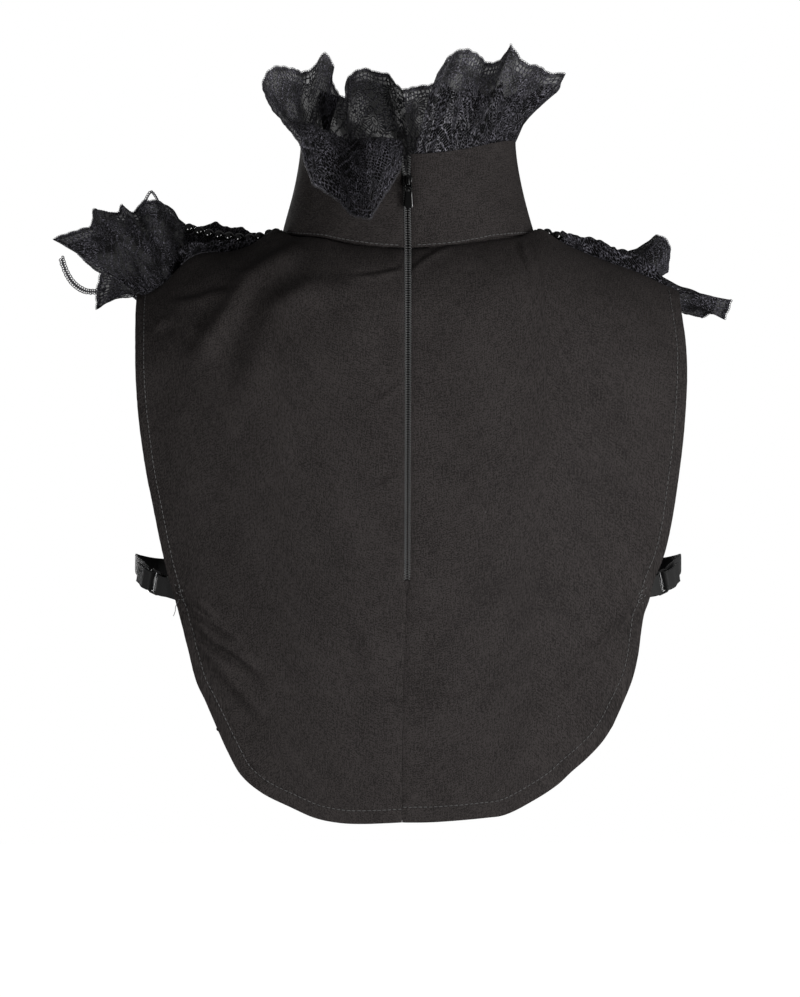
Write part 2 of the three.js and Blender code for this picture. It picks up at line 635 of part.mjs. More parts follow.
function addBeads() {
  for (const [side, rows] of [["left", LEFT_STRAND], ["right", RIGHT_STRAND]]) {
    const strand = strandCurve(rows);
    const length = strand.getLength();
    const pitch = 2 * BEAD_RADIUS * Math.cos(Math.asin(BEAD_BORE / BEAD_RADIUS)) + BEAD_GAP;
    for (let k = 0; k < BEADS_A_SIDE; k += 1) {
      const at = (pitch * (k + 0.6)) / length;
      const bead = addPiece(
        `bead_${side}_${String(k + 1).padStart(2, "0")}`,
        beadGeometry(),
        beadGloss,
      );
      bead.position.copy(strand.getPointAt(at));
      bead.quaternion.setFromUnitVectors(new THREE.Vector3(0, 1, 0), strand.getTangentAt(at));
    }
    const end = (pitch * (BEADS_A_SIDE + 0.2)) / length;
    const route = [];
    const steps = 24;
    for (let k = 0; k <= steps; k += 1) route.push(strand.getPointAt((end * k) / steps));
    const thread = bar(new THREE.CatmullRomCurve3(route), THREAD_RADIUS, 6, steps);
    addPiece("bead_thread_" + side, thread, elastic);
  }
}

// Zip

// The outer face of the cloth near the centre back, on the body or the collar, and the way out of it.
function backFace(x, z) {
  const angle = Math.asin(-x / COLLAR_TOP_HALF_WIDTH);
  const seam = neckSeam(angle).z;
  const low = seam + BAND_LIFT;
  const depthAt = (height) => {
    if (height < seam) return bodyPoint(BACK, x, levelAtHeight(BACK, x, height)).y;
    const share = THREE.MathUtils.clamp((height - low) / (collarTop(angle).z - low), 0, 1);
    return collarPoint(angle, share).y;
  };
  const step = 3;
  const slope = (depthAt(z + step) - depthAt(z - step)) / (2 * step);
  return {
    point: new THREE.Vector3(x, depthAt(z), z),
    out: new THREE.Vector3(0, 1, -slope).normalize(),
  };
}

const SLIDER = { z: 39, width: 5, length: 9, thick: 2 };
const BAIL = { wide: 1.6, wall: 0.9, open: 2.2, half: 2.2 };
const PULL = { width: 5.6, length: 16, thick: 1.1, bar: 1.1, window: 4.3, windowWidth: 2.9 };
const COIL_SINK = 1.35; // from the cloth's outer face down to the middle of the coils
const TAPE_GAP = 0.9;

// Half of the zip: a coil between the cloth edges, on a tape that lies under the cloth.
function addZipHalves() {
  const top = collarTop(0).z - 1;
  const bottom = ZIP_BOTTOM_Z + 3;
  const steps = 26;
  const height = (t) => THREE.MathUtils.lerp(bottom, top, t);
  const inset = (z) => GAP / 2 + smoothstep((z - SLIDER.z) / (top - SLIDER.z)) * 1.2;
  for (const [side, sign] of [["left", 1], ["right", -1]]) {
    const points = [];
    for (let k = 0; k <= steps; k += 1) {
      const { point, out } = backFace(0, height(k / steps));
      point.addScaledVector(out, -COIL_SINK);
      point.x = sign * (COIL_RADIUS + inset(point.z));
      points.push(point);
    }
    const coil = bar(new THREE.CatmullRomCurve3(points), COIL_RADIUS, 8, steps);
    const tapePoint = (u, v) => {
      const z = height(v);
      const { point, out } = backFace(sign * (inset(z) + 0.2 + TAPE_WIDTH * u), z);
      const under = z > -6 ? BAND_WALL : CLOTH_WALL;
      const seamAllowance = 3 * (1 - smoothstep(Math.abs(z + 1) / 12));
      return point.addScaledVector(out, -under - TAPE_GAP - seamAllowance);
    };
    const tape = clothWall(tapePoint, 2, steps, TAPE_WALL, sign);
    addPiece("zip_half_" + side, joined(coil, tape), zipTape);
  }
}

// The slider and its pull are built upright in their own frame, whose +Y points away from the
// cloth, and the group is then laid against the collar's slope.
function sliderSolid() {
  const plan = new THREE.Shape();
  const half = SLIDER.width / 2;
  const waist = half * 0.72;
  plan.moveTo(-waist, -SLIDER.length / 2);
  plan.lineTo(waist, -SLIDER.length / 2);
  plan.quadraticCurveTo(half, 0, half, SLIDER.length / 2 - 2);
  plan.quadraticCurveTo(half, SLIDER.length / 2, half - 2, SLIDER.length / 2);
  plan.lineTo(2 - half, SLIDER.length / 2);
  plan.quadraticCurveTo(-half, SLIDER.length / 2, -half, SLIDER.length / 2 - 2);
  plan.quadraticCurveTo(-half, 0, -waist, -SLIDER.length / 2);
  const body = new THREE.ExtrudeGeometry(plan, {
    depth: SLIDER.thick,
    bevelEnabled: false,
    curveSegments: 4,
  });
  body.rotateX(Math.PI / 2);
  body.translate(0, SLIDER.thick, 0);

  const outerHalf = BAIL.half + BAIL.wall;
  const outerTop = BAIL.open + BAIL.wall;
  const arch = new THREE.Shape();
  arch.moveTo(-outerHalf, -0.5);
  arch.lineTo(-outerHalf, outerTop - 1);
  arch.lineTo(-outerHalf + 1, outerTop);
  arch.lineTo(outerHalf - 1, outerTop);
  arch.lineTo(outerHalf, outerTop - 1);
  arch.lineTo(outerHalf, -0.5);
  arch.lineTo(BAIL.half, -0.5);
  arch.lineTo(BAIL.half, BAIL.open);
  arch.lineTo(-BAIL.half, BAIL.open);
  arch.lineTo(-BAIL.half, -0.5);
  arch.closePath();
  const bail = new THREE.ExtrudeGeometry(arch, { depth: BAIL.wide, bevelEnabled: false });
  bail.translate(0, 0, -BAIL.wide / 2);
  // The arch's own x runs along the zip and its y away from the cloth.
  bail.applyMatrix4(
    new THREE.Matrix4().makeBasis(
      new THREE.Vector3(0, 0, 1),
      new THREE.Vector3(0, 1, 0),
      new THREE.Vector3(-1, 0, 0),
    ),
  );
  bail.translate(0, SLIDER.thick, 0);
  return joined(body, bail);
}

function pullSolid() {
  const half = PULL.width / 2;
  const plan = new THREE.Shape();
  const top = PULL.bar / 2;
  const bottom = top - PULL.length;
  plan.moveTo(-1.7, top);
  plan.lineTo(1.7, top);
  plan.quadraticCurveTo(half - 0.3, top - 1, half - 0.4, top - 4);
  plan.quadraticCurveTo(half - 0.2, bottom + 6, half, bottom + 3.4);
  plan.quadraticCurveTo(half - 0.2, bottom, 0, bottom);
  plan.quadraticCurveTo(0.2 - half, bottom, -half, bottom + 3.4);
  plan.quadraticCurveTo(0.2 - half, bottom + 6, 0.4 - half, top - 4);
  plan.quadraticCurveTo(0.3 - half, top - 1, -1.7, top);
  const window = new THREE.Path();
  const side = PULL.windowWidth / 2;
  window.moveTo(-side, -PULL.bar / 2);
  window.lineTo(-side, -PULL.bar / 2 - PULL.window + 0.8);
  window.lineTo(0.8 - side, -PULL.bar / 2 - PULL.window);
  window.lineTo(side - 0.8, -PULL.bar / 2 - PULL.window);
  window.lineTo(side, -PULL.bar / 2 - PULL.window + 0.8);
  window.lineTo(side, -PULL.bar / 2);
  window.closePath();
  plan.holes.push(window);
  const plate = new THREE.ExtrudeGeometry(plan, {
    depth: PULL.thick,
    bevelEnabled: false,
    curveSegments: 5,
  });
  plate.rotateX(Math.PI / 2);
  plate.translate(0, PULL.thick / 2, 0);
  return plate;
}

function addZipSlider() {
  const below = backFace(0, SLIDER.z - 14).point;
  const above = backFace(0, SLIDER.z + 5).point;
  const zip = new THREE.Group();
  zip.position.copy(below.clone().lerp(above, 14 / 19));
  zip.rotation.x = Math.atan2(below.y - above.y, 19);
  zip.translateY(COIL_RADIUS - COIL_SINK + GAP + 0.1);
  part.add(zip);
  addPiece("zip_slider", sliderSolid(), blackMetal, zip);
  const pull = addPiece("zip_pull", pullSolid(), blackMetal, zip);
  pull.position.set(0, SLIDER.thick + BAIL.open / 2, PULL.bar * 0.75 + 0.1 - BAIL.half);
}

// Side straps

const BUCKLE = { across: 15, along: 11, thick: 1.4, rail: 1.5, at: 0.19 };
const STRAP_REACH = BUCKLE.thick / 2 + GAP + 0.45; // from the buckle's middle to the strap's face

// A point under a panel, at a depth below the cloth's outer face.
function underPanel(side, { x, z }, depth) {
  const step = 0.5;
  const y = fullDepth(side, x, z);
  const slopeX = (fullDepth(side, x + step, z) - fullDepth(side, x - step, z)) / (2 * step);
  const slopeZ = (fullDepth(side, x, z + step) - fullDepth(side, x, z - step)) / (2 * step);
  const outward = new THREE.Vector3(-slopeX, 1, -slopeZ).normalize().multiplyScalar(side.sign);
  return new THREE.Vector3(x, y, z).addScaledVector(outward, -depth);
}

function strapRoute(sign) {
  const depth = CLOTH_WALL + 3.2 * GAP + STRAP_REACH + STRAP_WALL;
  const points = [
    ...STRAP_BACK_ENDS.map((end) => underPanel(BACK, end, depth)),
    ...STRAP_ROUTE.map((p) => new THREE.Vector3(p.x, p.y, p.z)),
    ...STRAP_FRONT_ENDS.map((end) => underPanel(FRONT, end, depth)),
  ];
  points.forEach((point) => point.setX(point.x * sign));
  return new THREE.CatmullRomCurve3(points, false, "centripetal");
}

// The strap's own frame at a distance along its route: "along", "across" it, and "out" of the
// body. The strap runs straight through the buckle.
function strapFrame(route, distance, sign) {
  const length = route.getLength();
  const middle = length * BUCKLE.at;
  const straight = smoothstep((14 - Math.abs(distance - middle)) / 6.5);
  const t = THREE.MathUtils.clamp(distance / length, 0, 1);
  const along = route.getTangentAt(t);
  const buckleAlong = route.getTangentAt(BUCKLE.at);
  const onLine = route.getPointAt(BUCKLE.at).addScaledVector(buckleAlong, distance - middle);
  const at = route.getPointAt(t).lerp(onLine, straight);
  along.lerp(buckleAlong, straight).normalize();
  const out = new THREE.Vector3(0, 0, sign).cross(along).normalize();
  const across = new THREE.Vector3().crossVectors(out, along).normalize();
  return { at, along, out, across };
}

// A strap folded on itself: each station has a distance along the route and a height over it.
// "turned" is 1 or -1, the side on which the strap's thickness is added.
function foldedStrap(route, sign, stations, turned) {
  const centre = stations.map(([distance, height]) => {
    const frame = strapFrame(route, distance, sign);
    return { frame, point: frame.at.clone().addScaledVector(frame.out, height) };
  });
  const positions = [];
  centre.forEach(({ frame, point }, k) => {
    const before = centre[Math.max(k - 1, 0)].point;
    const after = centre[Math.min(k + 1, centre.length - 1)].point;
    const direction = new THREE.Vector3().subVectors(after, before).normalize();
    const normal = new THREE.Vector3().crossVectors(direction, frame.across).normalize();
    for (const [width, depth] of [[-0.5, 0], [0.5, 0], [0.5, 1], [-0.5, 1]]) {
      const corner = point.clone().addScaledVector(frame.across, width * STRAP_WIDTH);
      positions.push(corner.addScaledVector(normal, depth * STRAP_WALL * turned));
    }
  });
  const triangles = [];
  const last = (centre.length - 1) * 4;
  for (let k = 0; k < last; k += 4) {
    for (let side = 0; side < 4; side += 1) {
      const [a, b] = [k + side, k + ((side + 1) % 4)];
      triangles.push([a, b, b + 4], [a, b + 4, a + 4]);
    }
  }
  triangles.push([0, 2, 1], [0, 3, 2]);
  triangles.push([last, last + 1, last + 2], [last, last + 2, last + 3]);
  return solidFrom(positions, triangles);
}

// Stations that go out along the inner face, round a rail of the buckle and back along the outer
// face. "towards" is the direction along the route in which the strap goes out.
function loopStations(start, rail, end, towards) {
  const run = (from, to, height) => {
    const parts = Math.ceil(Math.abs(to - from) / 6);
    return Array.from({ length: parts }, (_, k) => [from + ((to - from) * k) / parts, height]);
  };
  const turn = [];
  const arcs = 6;
  for (let k = 0; k < arcs; k += 1) {
    const angle = (Math.PI * k) / arcs;
    const swing = BUCKLE.rail / 2 + GAP;
    turn.push([rail + towards * swing * Math.sin(angle), -STRAP_REACH * Math.cos(angle)]);
  }
  const back = run(end, rail, STRAP_REACH).reverse();
  return [...run(start, rail, -STRAP_REACH), ...turn, [rail, STRAP_REACH], ...back];
}

function buckleGeometry() {
  const across = BUCKLE.across / 2;
  const along = BUCKLE.along / 2;
  const corner = 1.6;
  const plan = new THREE.Shape();
  plan.moveTo(-along + corner, -across);
  plan.lineTo(along - corner, -across);
  plan.quadraticCurveTo(along, -across, along, -across + corner);
  plan.lineTo(along, across - corner);
  plan.quadraticCurveTo(along, across, along - corner, across);
  plan.lineTo(-along + corner, across);
  plan.quadraticCurveTo(-along, across, -along, across - corner);
  plan.lineTo(-along, -across + corner);
  plan.quadraticCurveTo(-along, -across, -along + corner, -across);
  const plate = new THREE.ExtrudeGeometry(plan, {
    depth: BUCKLE.thick,
    bevelEnabled: false,
    curveSegments: 3,
  });
  plate.translate(0, 0, -BUCKLE.thick / 2);
  const slots = [-1, 1].map((sign) => {
    const width = along - BUCKLE.rail * 1.5;
    const slot = new THREE.BoxGeometry(width, STRAP_WIDTH + 0.8, BUCKLE.thick * 2);
    return slot.translate(sign * (BUCKLE.rail / 2 + width / 2), 0, 0);
  });
  return cut(plate, ...slots);
}

function addSideStraps() {
  for (const [side, sign] of [["left", 1], ["right", -1]]) {
    const route = strapRoute(sign);
    const length = route.getLength();
    const middle = length * BUCKLE.at;
    const frame = strapFrame(route, middle, sign);
    const buckle = addPiece("strap_buckle_" + side, buckleGeometry(), blackMetal);
    buckle.matrixAutoUpdate = false;
    buckle.matrix.makeBasis(frame.along, frame.across, frame.out).setPosition(frame.at);
    const rail = (BUCKLE.along - BUCKLE.rail) / 2;
    const tab = loopStations(4, middle - rail, 6, 1);
    addPiece("side_tab_" + side, foldedStrap(route, sign, tab, -1), elastic);
    const strap = loopStations(length - 4, middle + rail, middle + rail + 15, -1);
    addPiece("side_strap_" + side, foldedStrap(route, sign, strap, 1), elastic);
  }
}

addPanels();
addCollarBand();
addRuffles();
addBeads();
addZipHalves();
addZipSlider();
addSideStraps();

export default part;
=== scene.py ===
# %% [markdown]
# # A black ruffle collar
# A half blouse of black cotton: a tall stand collar, lace ruffles round its top and along both
# shoulders, a string of glossy beads on each shoulder, a zip down the centre back and an elastic
# strap under each arm. The measured model is loaded first, as a frame that never moves. Every piece
# made here is placed by the same numbers that made that model, so nothing has to be fitted.

# %% Load the frame
import math

import bmesh
import bpy
import numpy as np
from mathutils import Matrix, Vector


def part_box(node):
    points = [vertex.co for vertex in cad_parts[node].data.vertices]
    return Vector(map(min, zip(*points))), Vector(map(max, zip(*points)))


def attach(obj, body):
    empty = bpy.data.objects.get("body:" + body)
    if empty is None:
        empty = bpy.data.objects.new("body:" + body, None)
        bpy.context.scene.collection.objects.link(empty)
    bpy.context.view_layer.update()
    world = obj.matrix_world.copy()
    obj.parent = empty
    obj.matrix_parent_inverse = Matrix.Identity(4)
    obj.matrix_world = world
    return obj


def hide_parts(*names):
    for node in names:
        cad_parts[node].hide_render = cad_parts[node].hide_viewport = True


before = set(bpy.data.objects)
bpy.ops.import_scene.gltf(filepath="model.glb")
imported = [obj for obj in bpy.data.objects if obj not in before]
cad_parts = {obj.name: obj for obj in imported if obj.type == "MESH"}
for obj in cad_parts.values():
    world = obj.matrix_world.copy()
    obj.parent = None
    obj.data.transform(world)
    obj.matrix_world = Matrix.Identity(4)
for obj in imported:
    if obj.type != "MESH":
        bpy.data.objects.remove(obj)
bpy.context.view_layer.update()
MM = 0.001

# %% [markdown]
# ## Camera and studio
# The collar is seen square from behind, from far off, so the camera stands level with the middle of
# the back and has a long lens. Black cloth shows its folds only where light comes from one side and
# the room adds little, so one soft lamp stands on the right, level with the chest, and two stand low,
# one on each side of the camera. That leaves the shoulders, which face up, darker than the back. A
# small strip stands above the right lamp, for the beads and the zip, and one lamp lights the front.

# %% Camera
SENSOR_WIDTH, LENS = 36, 144.43
CAMERA_PLACE = (0.0051, 2.490, -0.1533)


def in_scene(name, data):
    thing = bpy.data.objects.new(name, data)
    bpy.context.collection.objects.link(thing)
    return thing


camera_data = bpy.data.cameras.new("camera")
camera_data.sensor_width = SENSOR_WIDTH
camera_data.lens = LENS
camera_data.clip_end = 60
camera = in_scene("camera", camera_data)
camera.location = CAMERA_PLACE
camera.rotation_euler = (math.pi / 2, 0, math.pi)
bpy.context.scene.camera = camera
bpy.context.scene.view_settings.view_transform = "Standard"

# %% Studio
ROOM_GLOW = 0.08


def softbox(name, place, size, power, aim=(0, 0, -0.1)):
    data = bpy.data.lights.new(name, "AREA")
    data.shape = "RECTANGLE"
    data.size, data.size_y = size
    data.energy = power
    lamp = in_scene(name, data)
    lamp.location = place
    away = lamp.location - type(lamp.location)(aim)
    lamp.rotation_euler = away.to_track_quat("Z", "Y").to_euler()


softbox("key", (-1.9, 1.5, -0.05), (0.7, 1.2), 32)
softbox("strip", (-1.9, 1.5, 0.8), (0.3, 0.6), 6, aim=(0, 0, 0))
softbox("low_right", (-1.3, 1.9, -0.9), (0.6, 0.6), 17)
softbox("low_left", (1.3, 1.9, -0.9), (0.7, 0.7), 20.5)
softbox("front_light", (0.9, -2.2, -0.2), (1.4, 1.4), 30)

world = bpy.data.worlds.new("room")
world.use_nodes = True
bpy.context.scene.world = world
room = world.node_tree
seen = room.nodes.new("ShaderNodeLightPath")
wall = room.nodes.new("ShaderNodeBackground")
wall.inputs["Color"].default_value = (1, 1, 1, 1)
wall.inputs["Strength"].default_value = 1
glow = room.nodes["Background"]
glow.inputs["Color"].default_value = (1, 1, 1, 1)
glow.inputs["Strength"].default_value = ROOM_GLOW
choice = room.nodes.new("ShaderNodeMixShader")
room.links.new(seen.outputs["Is Camera Ray"], choice.inputs[0])
room.links.new(glow.outputs[0], choice.inputs[1])
room.links.new(wall.outputs[0], choice.inputs[2])
room.links.new(choice.outputs[0], room.nodes["World Output"].inputs["Surface"])

# %% [markdown]
# ## Finishes
# Every finish is worked out from numbers, so that it holds up close and from afar. A small class
# wraps a socket, so that sums read as sums, and a Finish is one material with a short way to add a
# node. Cloth and lace read the attribute "flat", which each sheet carries: the place of each point
# on the cloth before it was sewn, in millimetres. So the weave follows the cloth round every fold.


# %% Socket sums
class Value:
    """A socket that can be added, multiplied and compared like a number."""

    def __init__(self, finish, socket):
        self.finish, self.socket = finish, socket

    def math(self, operation, *others, clamp=False):
        settings = {"operation": operation, "use_clamp": clamp}
        return self.finish.node("ShaderNodeMath", settings, dict(enumerate((self, *others))))

    def __add__(self, other):
        return self.math("ADD", other)

    def __sub__(self, other):
        return self.math("SUBTRACT", other)

    def __rsub__(self, other):
        return self.math("MULTIPLY_ADD", -1, other)

    def __mul__(self, other):
        return self.math("MULTIPLY", other)

    def __truediv__(self, other):
        return self.math("DIVIDE", other)

    def wave(self, period):
        """0 to 1 and back over each period, as a rounded ridge."""
        return (self * (math.pi / period)).math("SINE").math("ABSOLUTE")

    def step(self, low, high):
        """0 below low, 1 above high, smooth between."""
        settings = {"interpolation_type": "SMOOTHSTEP"}
        return self.finish.node("ShaderNodeMapRange", settings, {0: self, 1: low, 2: high})


class Finish:
    """A material on the Principled shader, and the nodes that lead to it."""

    def __init__(self, name, **fixed):
        self.material = bpy.data.materials.new(name)
        self.material.use_nodes = True
        self.tree = self.material.node_tree
        self.surface = self.tree.nodes["Principled BSDF"]
        self.set(**fixed)

    def set(self, **values):
        for name, value in values.items():
            self.plug(self.surface.inputs[name.replace("_", " ")], value)

    def plug(self, socket, value):
        if isinstance(value, Value):
            self.tree.links.new(value.socket, socket)
        else:
            socket.default_value = value

    def node(self, kind, settings=None, inputs=None, out=0):
        made = self.tree.nodes.new(kind)
        for name, value in (settings or {}).items():
            setattr(made, name, value)
        for key, value in (inputs or {}).items():
            self.plug(made.inputs[key], value)
        return Value(self, made.outputs[out])

    def flat(self):
        """The place on the flat cloth, in millimetres, as two numbers and a vector."""
        place = self.node("ShaderNodeAttribute", {"attribute_name": "flat"}, out="Vector")
        return self.parts(place) + (place,)

    def parts(self, vector):
        made = self.tree.nodes.new("ShaderNodeSeparateXYZ")
        self.plug(made.inputs[0], vector)
        return Value(self, made.outputs[0]), Value(self, made.outputs[1])

    def vector(self, x, y):
        return self.node("ShaderNodeCombineXYZ", None, {0: x, 1: y})

    def noise(self, vector, scale, detail=2):
        inputs = {"Vector": vector, "Scale": scale, "Detail": detail}
        return self.node("ShaderNodeTexNoise", None, inputs)

    def cells(self, vector, scale, randomness):
        """Distance to the wall between irregular cells, 0 on the wall."""
        inputs = {"Vector": vector, "Scale": scale, "Randomness": randomness}
        return self.node("ShaderNodeTexVoronoi", {"feature": "DISTANCE_TO_EDGE"}, inputs)

    def mix(self, factor, first, second):
        settings = {"data_type": "RGBA"}
        return self.node("ShaderNodeMix", settings, {0: factor, 6: first, 7: second}, out=2)

    def bump(self, height, distance, strength=1):
        inputs = {"Height": height, "Distance": distance, "Strength": strength}
        self.set(Normal=self.node("ShaderNodeBump", None, inputs))


def grey(level, warmth=0.0):
    return (level * (1 + warmth), level, level * (1 - warmth), 1)


# %% [markdown]
# ### Cotton
# The cloth is a plain-woven cotton, dyed black: matt, slightly warm, with thick and thin threads that
# show as faint streaks both ways, and a few specks of pale lint. The threads are a bump half a
# millimetre apart, the streaks are two noises stretched along the threads, and the lint is a rare
# small dot of a Voronoi pattern.

# %% Cotton finish
THREAD_PITCH = 0.5
DARK_COTTON, WORN_COTTON = (0.0155, 0.0137, 0.0133, 1), (0.048, 0.0422, 0.0412, 1)


def cotton_finish():
    f = Finish("cotton", Specular_IOR_Level=0.08)
    u, v, place = f.flat()
    threads = u.wave(THREAD_PITCH) + v.wave(THREAD_PITCH)
    down = f.noise(f.vector(u * 1.9, v * 0.13), 1.0)
    along = f.noise(f.vector(u * 0.12, v * 2.1), 1.0)
    cloud = f.noise(place, 0.03, 3)
    grain = f.noise(place, 1.3, 1)
    streaks = down * 0.5 + along * 0.5
    tone = (streaks - 0.5) * 3.8 + (grain - 0.5) * 4.0 + (cloud - 0.5) * 0.8 + 0.5
    shade = f.mix(tone.math("ADD", 0, clamp=True), DARK_COTTON, WORN_COTTON)
    dots = f.tree.nodes.new("ShaderNodeTexVoronoi")
    f.plug(dots.inputs["Vector"], place)
    dots.inputs["Scale"].default_value = 0.11
    distance, chance = (Value(f, dots.outputs[k]) for k in ("Distance", "Color"))
    rare, _ = f.parts(chance)
    lint = (1 - distance.step(0.012, 0.034)) * rare.step(0.80, 0.82)
    f.set(Base_Color=f.mix(lint * 0.55, shade, grey(0.3)))
    f.set(Roughness=streaks * 0.15 + 0.72)
    f.bump(threads * 0.5 + streaks * 2.0, 0.00012, 0.5)
    return f.material


COTTON = cotton_finish()

# %% [markdown]
# ### Lace
# The lace is a dense knotted net: threads over black openings. The threads are painted pale in small
# random spots, which are painted glints, and darker in broad random patches, partly their own uneven
# tone and partly painted shade. Where the pattern changes, the cells are drawn out into ladders, the
# flowers are worked solid with ribs that run out from their middles, and a row of larger openings
# follows the firm edge. The net is the walls of a Voronoi pattern on the flat strip, and the flowers
# are drawn by the angle round the middle of each tile. The openings let a little light through. The
# collar's lace is the most open.

# %% Lace pattern sizes
FLOWER_TILE = (31.0, 25.0)
PETAL, EYE = 10.0, 2.2
# The lace's first colour is its threads' own. The second is a painted glint, laid on small random spots
# of them.
LACE_BLACK, LACE_PAINTED_GLINT = (0.044, 0.043, 0.050, 1), (0.26, 0.25, 0.30, 1)
CORD_BLACK, CORD_PALE = (0.010, 0.010, 0.011, 1), (0.085, 0.082, 0.095, 1)


def petal_reach(angle):
    """How far a petal reaches at an angle from the flower's middle, as a share of its length."""
    return 0.6 + 0.4 * np.abs(np.cos(2.5 * angle))


# %% Lace finish
def lace_finish(name, closed, airy):
    """closed and airy are how much light the densest and the most open places let through."""
    f = Finish(name, Specular_IOR_Level=0.1, Coat_Roughness=0.28)
    u, w, place = f.flat()
    sway = (f.noise(place, 0.09, 1) - 0.5) * 5
    net = f.cells(f.vector(u + sway, w - sway), 0.50, 0.6)
    ladder = f.cells(f.vector((u + w) * 0.42 + sway * 0.2, (u - w) * 0.13), 1.0, 0.35)
    eyelets = f.cells(f.vector(u, w + sway * 0.2), 0.34, 0.4)
    drawn_out = f.noise(place, 0.045, 1).step(0.5, 0.56)
    ground = 1 - (net * (1 - drawn_out) + ladder * drawn_out).step(0.05, 0.15)
    row = (w / FLOWER_TILE[1]).math("FLOOR")
    x = ((u / FLOWER_TILE[0] + row * 0.5).math("FRACT") - 0.5) * FLOWER_TILE[0]
    y = ((w / FLOWER_TILE[1]).math("FRACT") - 0.5) * FLOWER_TILE[1]
    reach = (x * x + y * y).math("SQRT")
    angle = y.math("ARCTAN2", x)
    petals = reach - ((angle * 2.5).math("COSINE").math("ABSOLUTE") * 0.4 + 0.6) * PETAL
    flower = 1 - petals.step(-0.4, 0.1)
    ribs = 1 - (angle * 11).math("SINE").math("ABSOLUTE").step(0.35, 0.8)
    eye = 1 - (reach - EYE).math("ABSOLUTE").step(0.7, 1.1)
    worked = ribs.math("MAXIMUM", ground * 0.6) * (1 - eye * 0.7)
    some = f.noise(f.vector(u * 0.03, 0), 1.0, 1).step(0.44, 0.5)
    edge_row = w.step(2.2, 2.8) * (1 - w.step(7.0, 9.5)) * some
    firm = (1 - w.step(0.9, 1.4)) * 0.5
    open_row = 1 - eyelets.step(0.10, 0.20)
    thread = ground * (1 - flower) + worked * flower
    thread = thread * (1 - edge_row) + open_row * edge_row
    thread = thread.math("MAXIMUM", firm)
    # Painted glints: where this noise is high, the threads are painted pale, and they also take a coat
    # of gloss.
    painted_glint_and_gloss = f.noise(place, 0.75, 2).step(0.42, 0.72)
    # Broad random patches of darker thread: partly the lace's own uneven tone, partly painted shade
    # like that in its folds.
    mottle = f.noise(place, 0.05, 2).step(0.3, 0.7)
    opening = f.noise(place, 0.04, 1).step(0.46, 0.58) * (airy - closed) + closed
    thread_colour_with_painted_glints = f.mix(painted_glint_and_gloss, LACE_BLACK, LACE_PAINTED_GLINT)
    f.set(Base_Color=f.mix(thread * (mottle * 0.6 + 0.4), grey(0.002), thread_colour_with_painted_glints))
    f.set(Alpha=1 - (1 - thread) * (edge_row * 0.16 + opening))
    f.set(Roughness=0.8 - thread * 0.3)
    f.set(Coat_Weight=thread * painted_glint_and_gloss * 0.8)
    f.bump(thread, 0.0005, 0.9)
    return f.material


LACE, DENSE_LACE = lace_finish("lace", 0.15, 0.31), lace_finish("dense_lace", 0.07, 0.17)
DOUBLED_LACE = lace_finish("doubled_lace", 0.0, 0.0)


def cord_finish():
    f = Finish("lace_cord", Roughness=0.5)
    twist = f.noise(f.node("ShaderNodeTexCoord", out="Object"), 1400, 1)
    f.set(Base_Color=f.mix(twist.step(0.4, 0.65), CORD_BLACK, CORD_PALE))
    return f.material


CORD = cord_finish()

# %% [markdown]
# ### Small hard parts
# The beads are glossy black plastic, the slider and its pull are black enamel, a little uneven in
# tone and gloss, the buckles smooth black plastic. The zip's coil is nylon and its tape a fine rib.


# %% Hard finishes
def gloss_finish(name, level, roughness, spread, coat=0.0, bump=0.0, gloss=1.5, under=0.35):
    """A grey of the given level, under a coat if there is one. under is the shine below the coat."""
    f = Finish(name, Coat_Weight=coat, Coat_Roughness=0.04, Coat_IOR=gloss)
    f.set(Specular_IOR_Level=under)
    place = f.node("ShaderNodeTexCoord", out="Object")
    smear = f.noise(place, 240, 3)
    f.set(Base_Color=f.mix(smear, grey(level * 0.7), grey(level * 1.5)))
    f.set(Roughness=(smear - 0.5) * spread + roughness)
    if bump:
        f.bump(f.noise(place, 500, 2), bump, 0.3)
    return f.material


BEAD = gloss_finish("bead", 0.003, 0.07, 0.06, coat=1.0)
ENAMEL = gloss_finish(
    "black_metal", 0.002, 0.16, 0.14, coat=1.0, bump=0.00002, gloss=1.6, under=0.03
)
BUCKLE_FINISH = gloss_finish("buckle", 0.004, 0.2, 0.15, coat=1.0, gloss=1.9)
COIL = gloss_finish("coil", 0.13, 0.4, 0.2)
THREAD = gloss_finish("thread", 0.085, 0.6, 0.2)


def ribbed_finish(name, pitch, level, depth):
    """Webbing or tape: ribs across the strip and a finer line along it."""
    f = Finish(name, Sheen_Weight=0.15, Specular_IOR_Level=0.35)
    u, v, place = f.flat()
    ribs = u.wave(pitch) * 0.7 + v.wave(pitch * 0.9) * 0.3
    mottle = f.noise(place, 0.35, 3)
    tone = (ribs * 0.7 + (mottle - 0.5) * 0.8 + 0.1).math("ADD", 0, clamp=True)
    f.set(Base_Color=f.mix(tone, grey(level * 0.55), grey(level * 1.5)))
    f.set(Roughness=0.75 - ribs * 0.15)
    f.bump(ribs, depth, 0.7)
    return f.material


ELASTIC = ribbed_finish("elastic", 0.9, 0.008, 0.00025)
TAPE = ribbed_finish("zip", 0.6, 0.014, 0.0001)

# %% [markdown]
# ### Floor
# A pale floor under the piece. It takes soft shadows from the lamps and glows a little, so that it
# is as pale as the room behind it and no horizon shows.

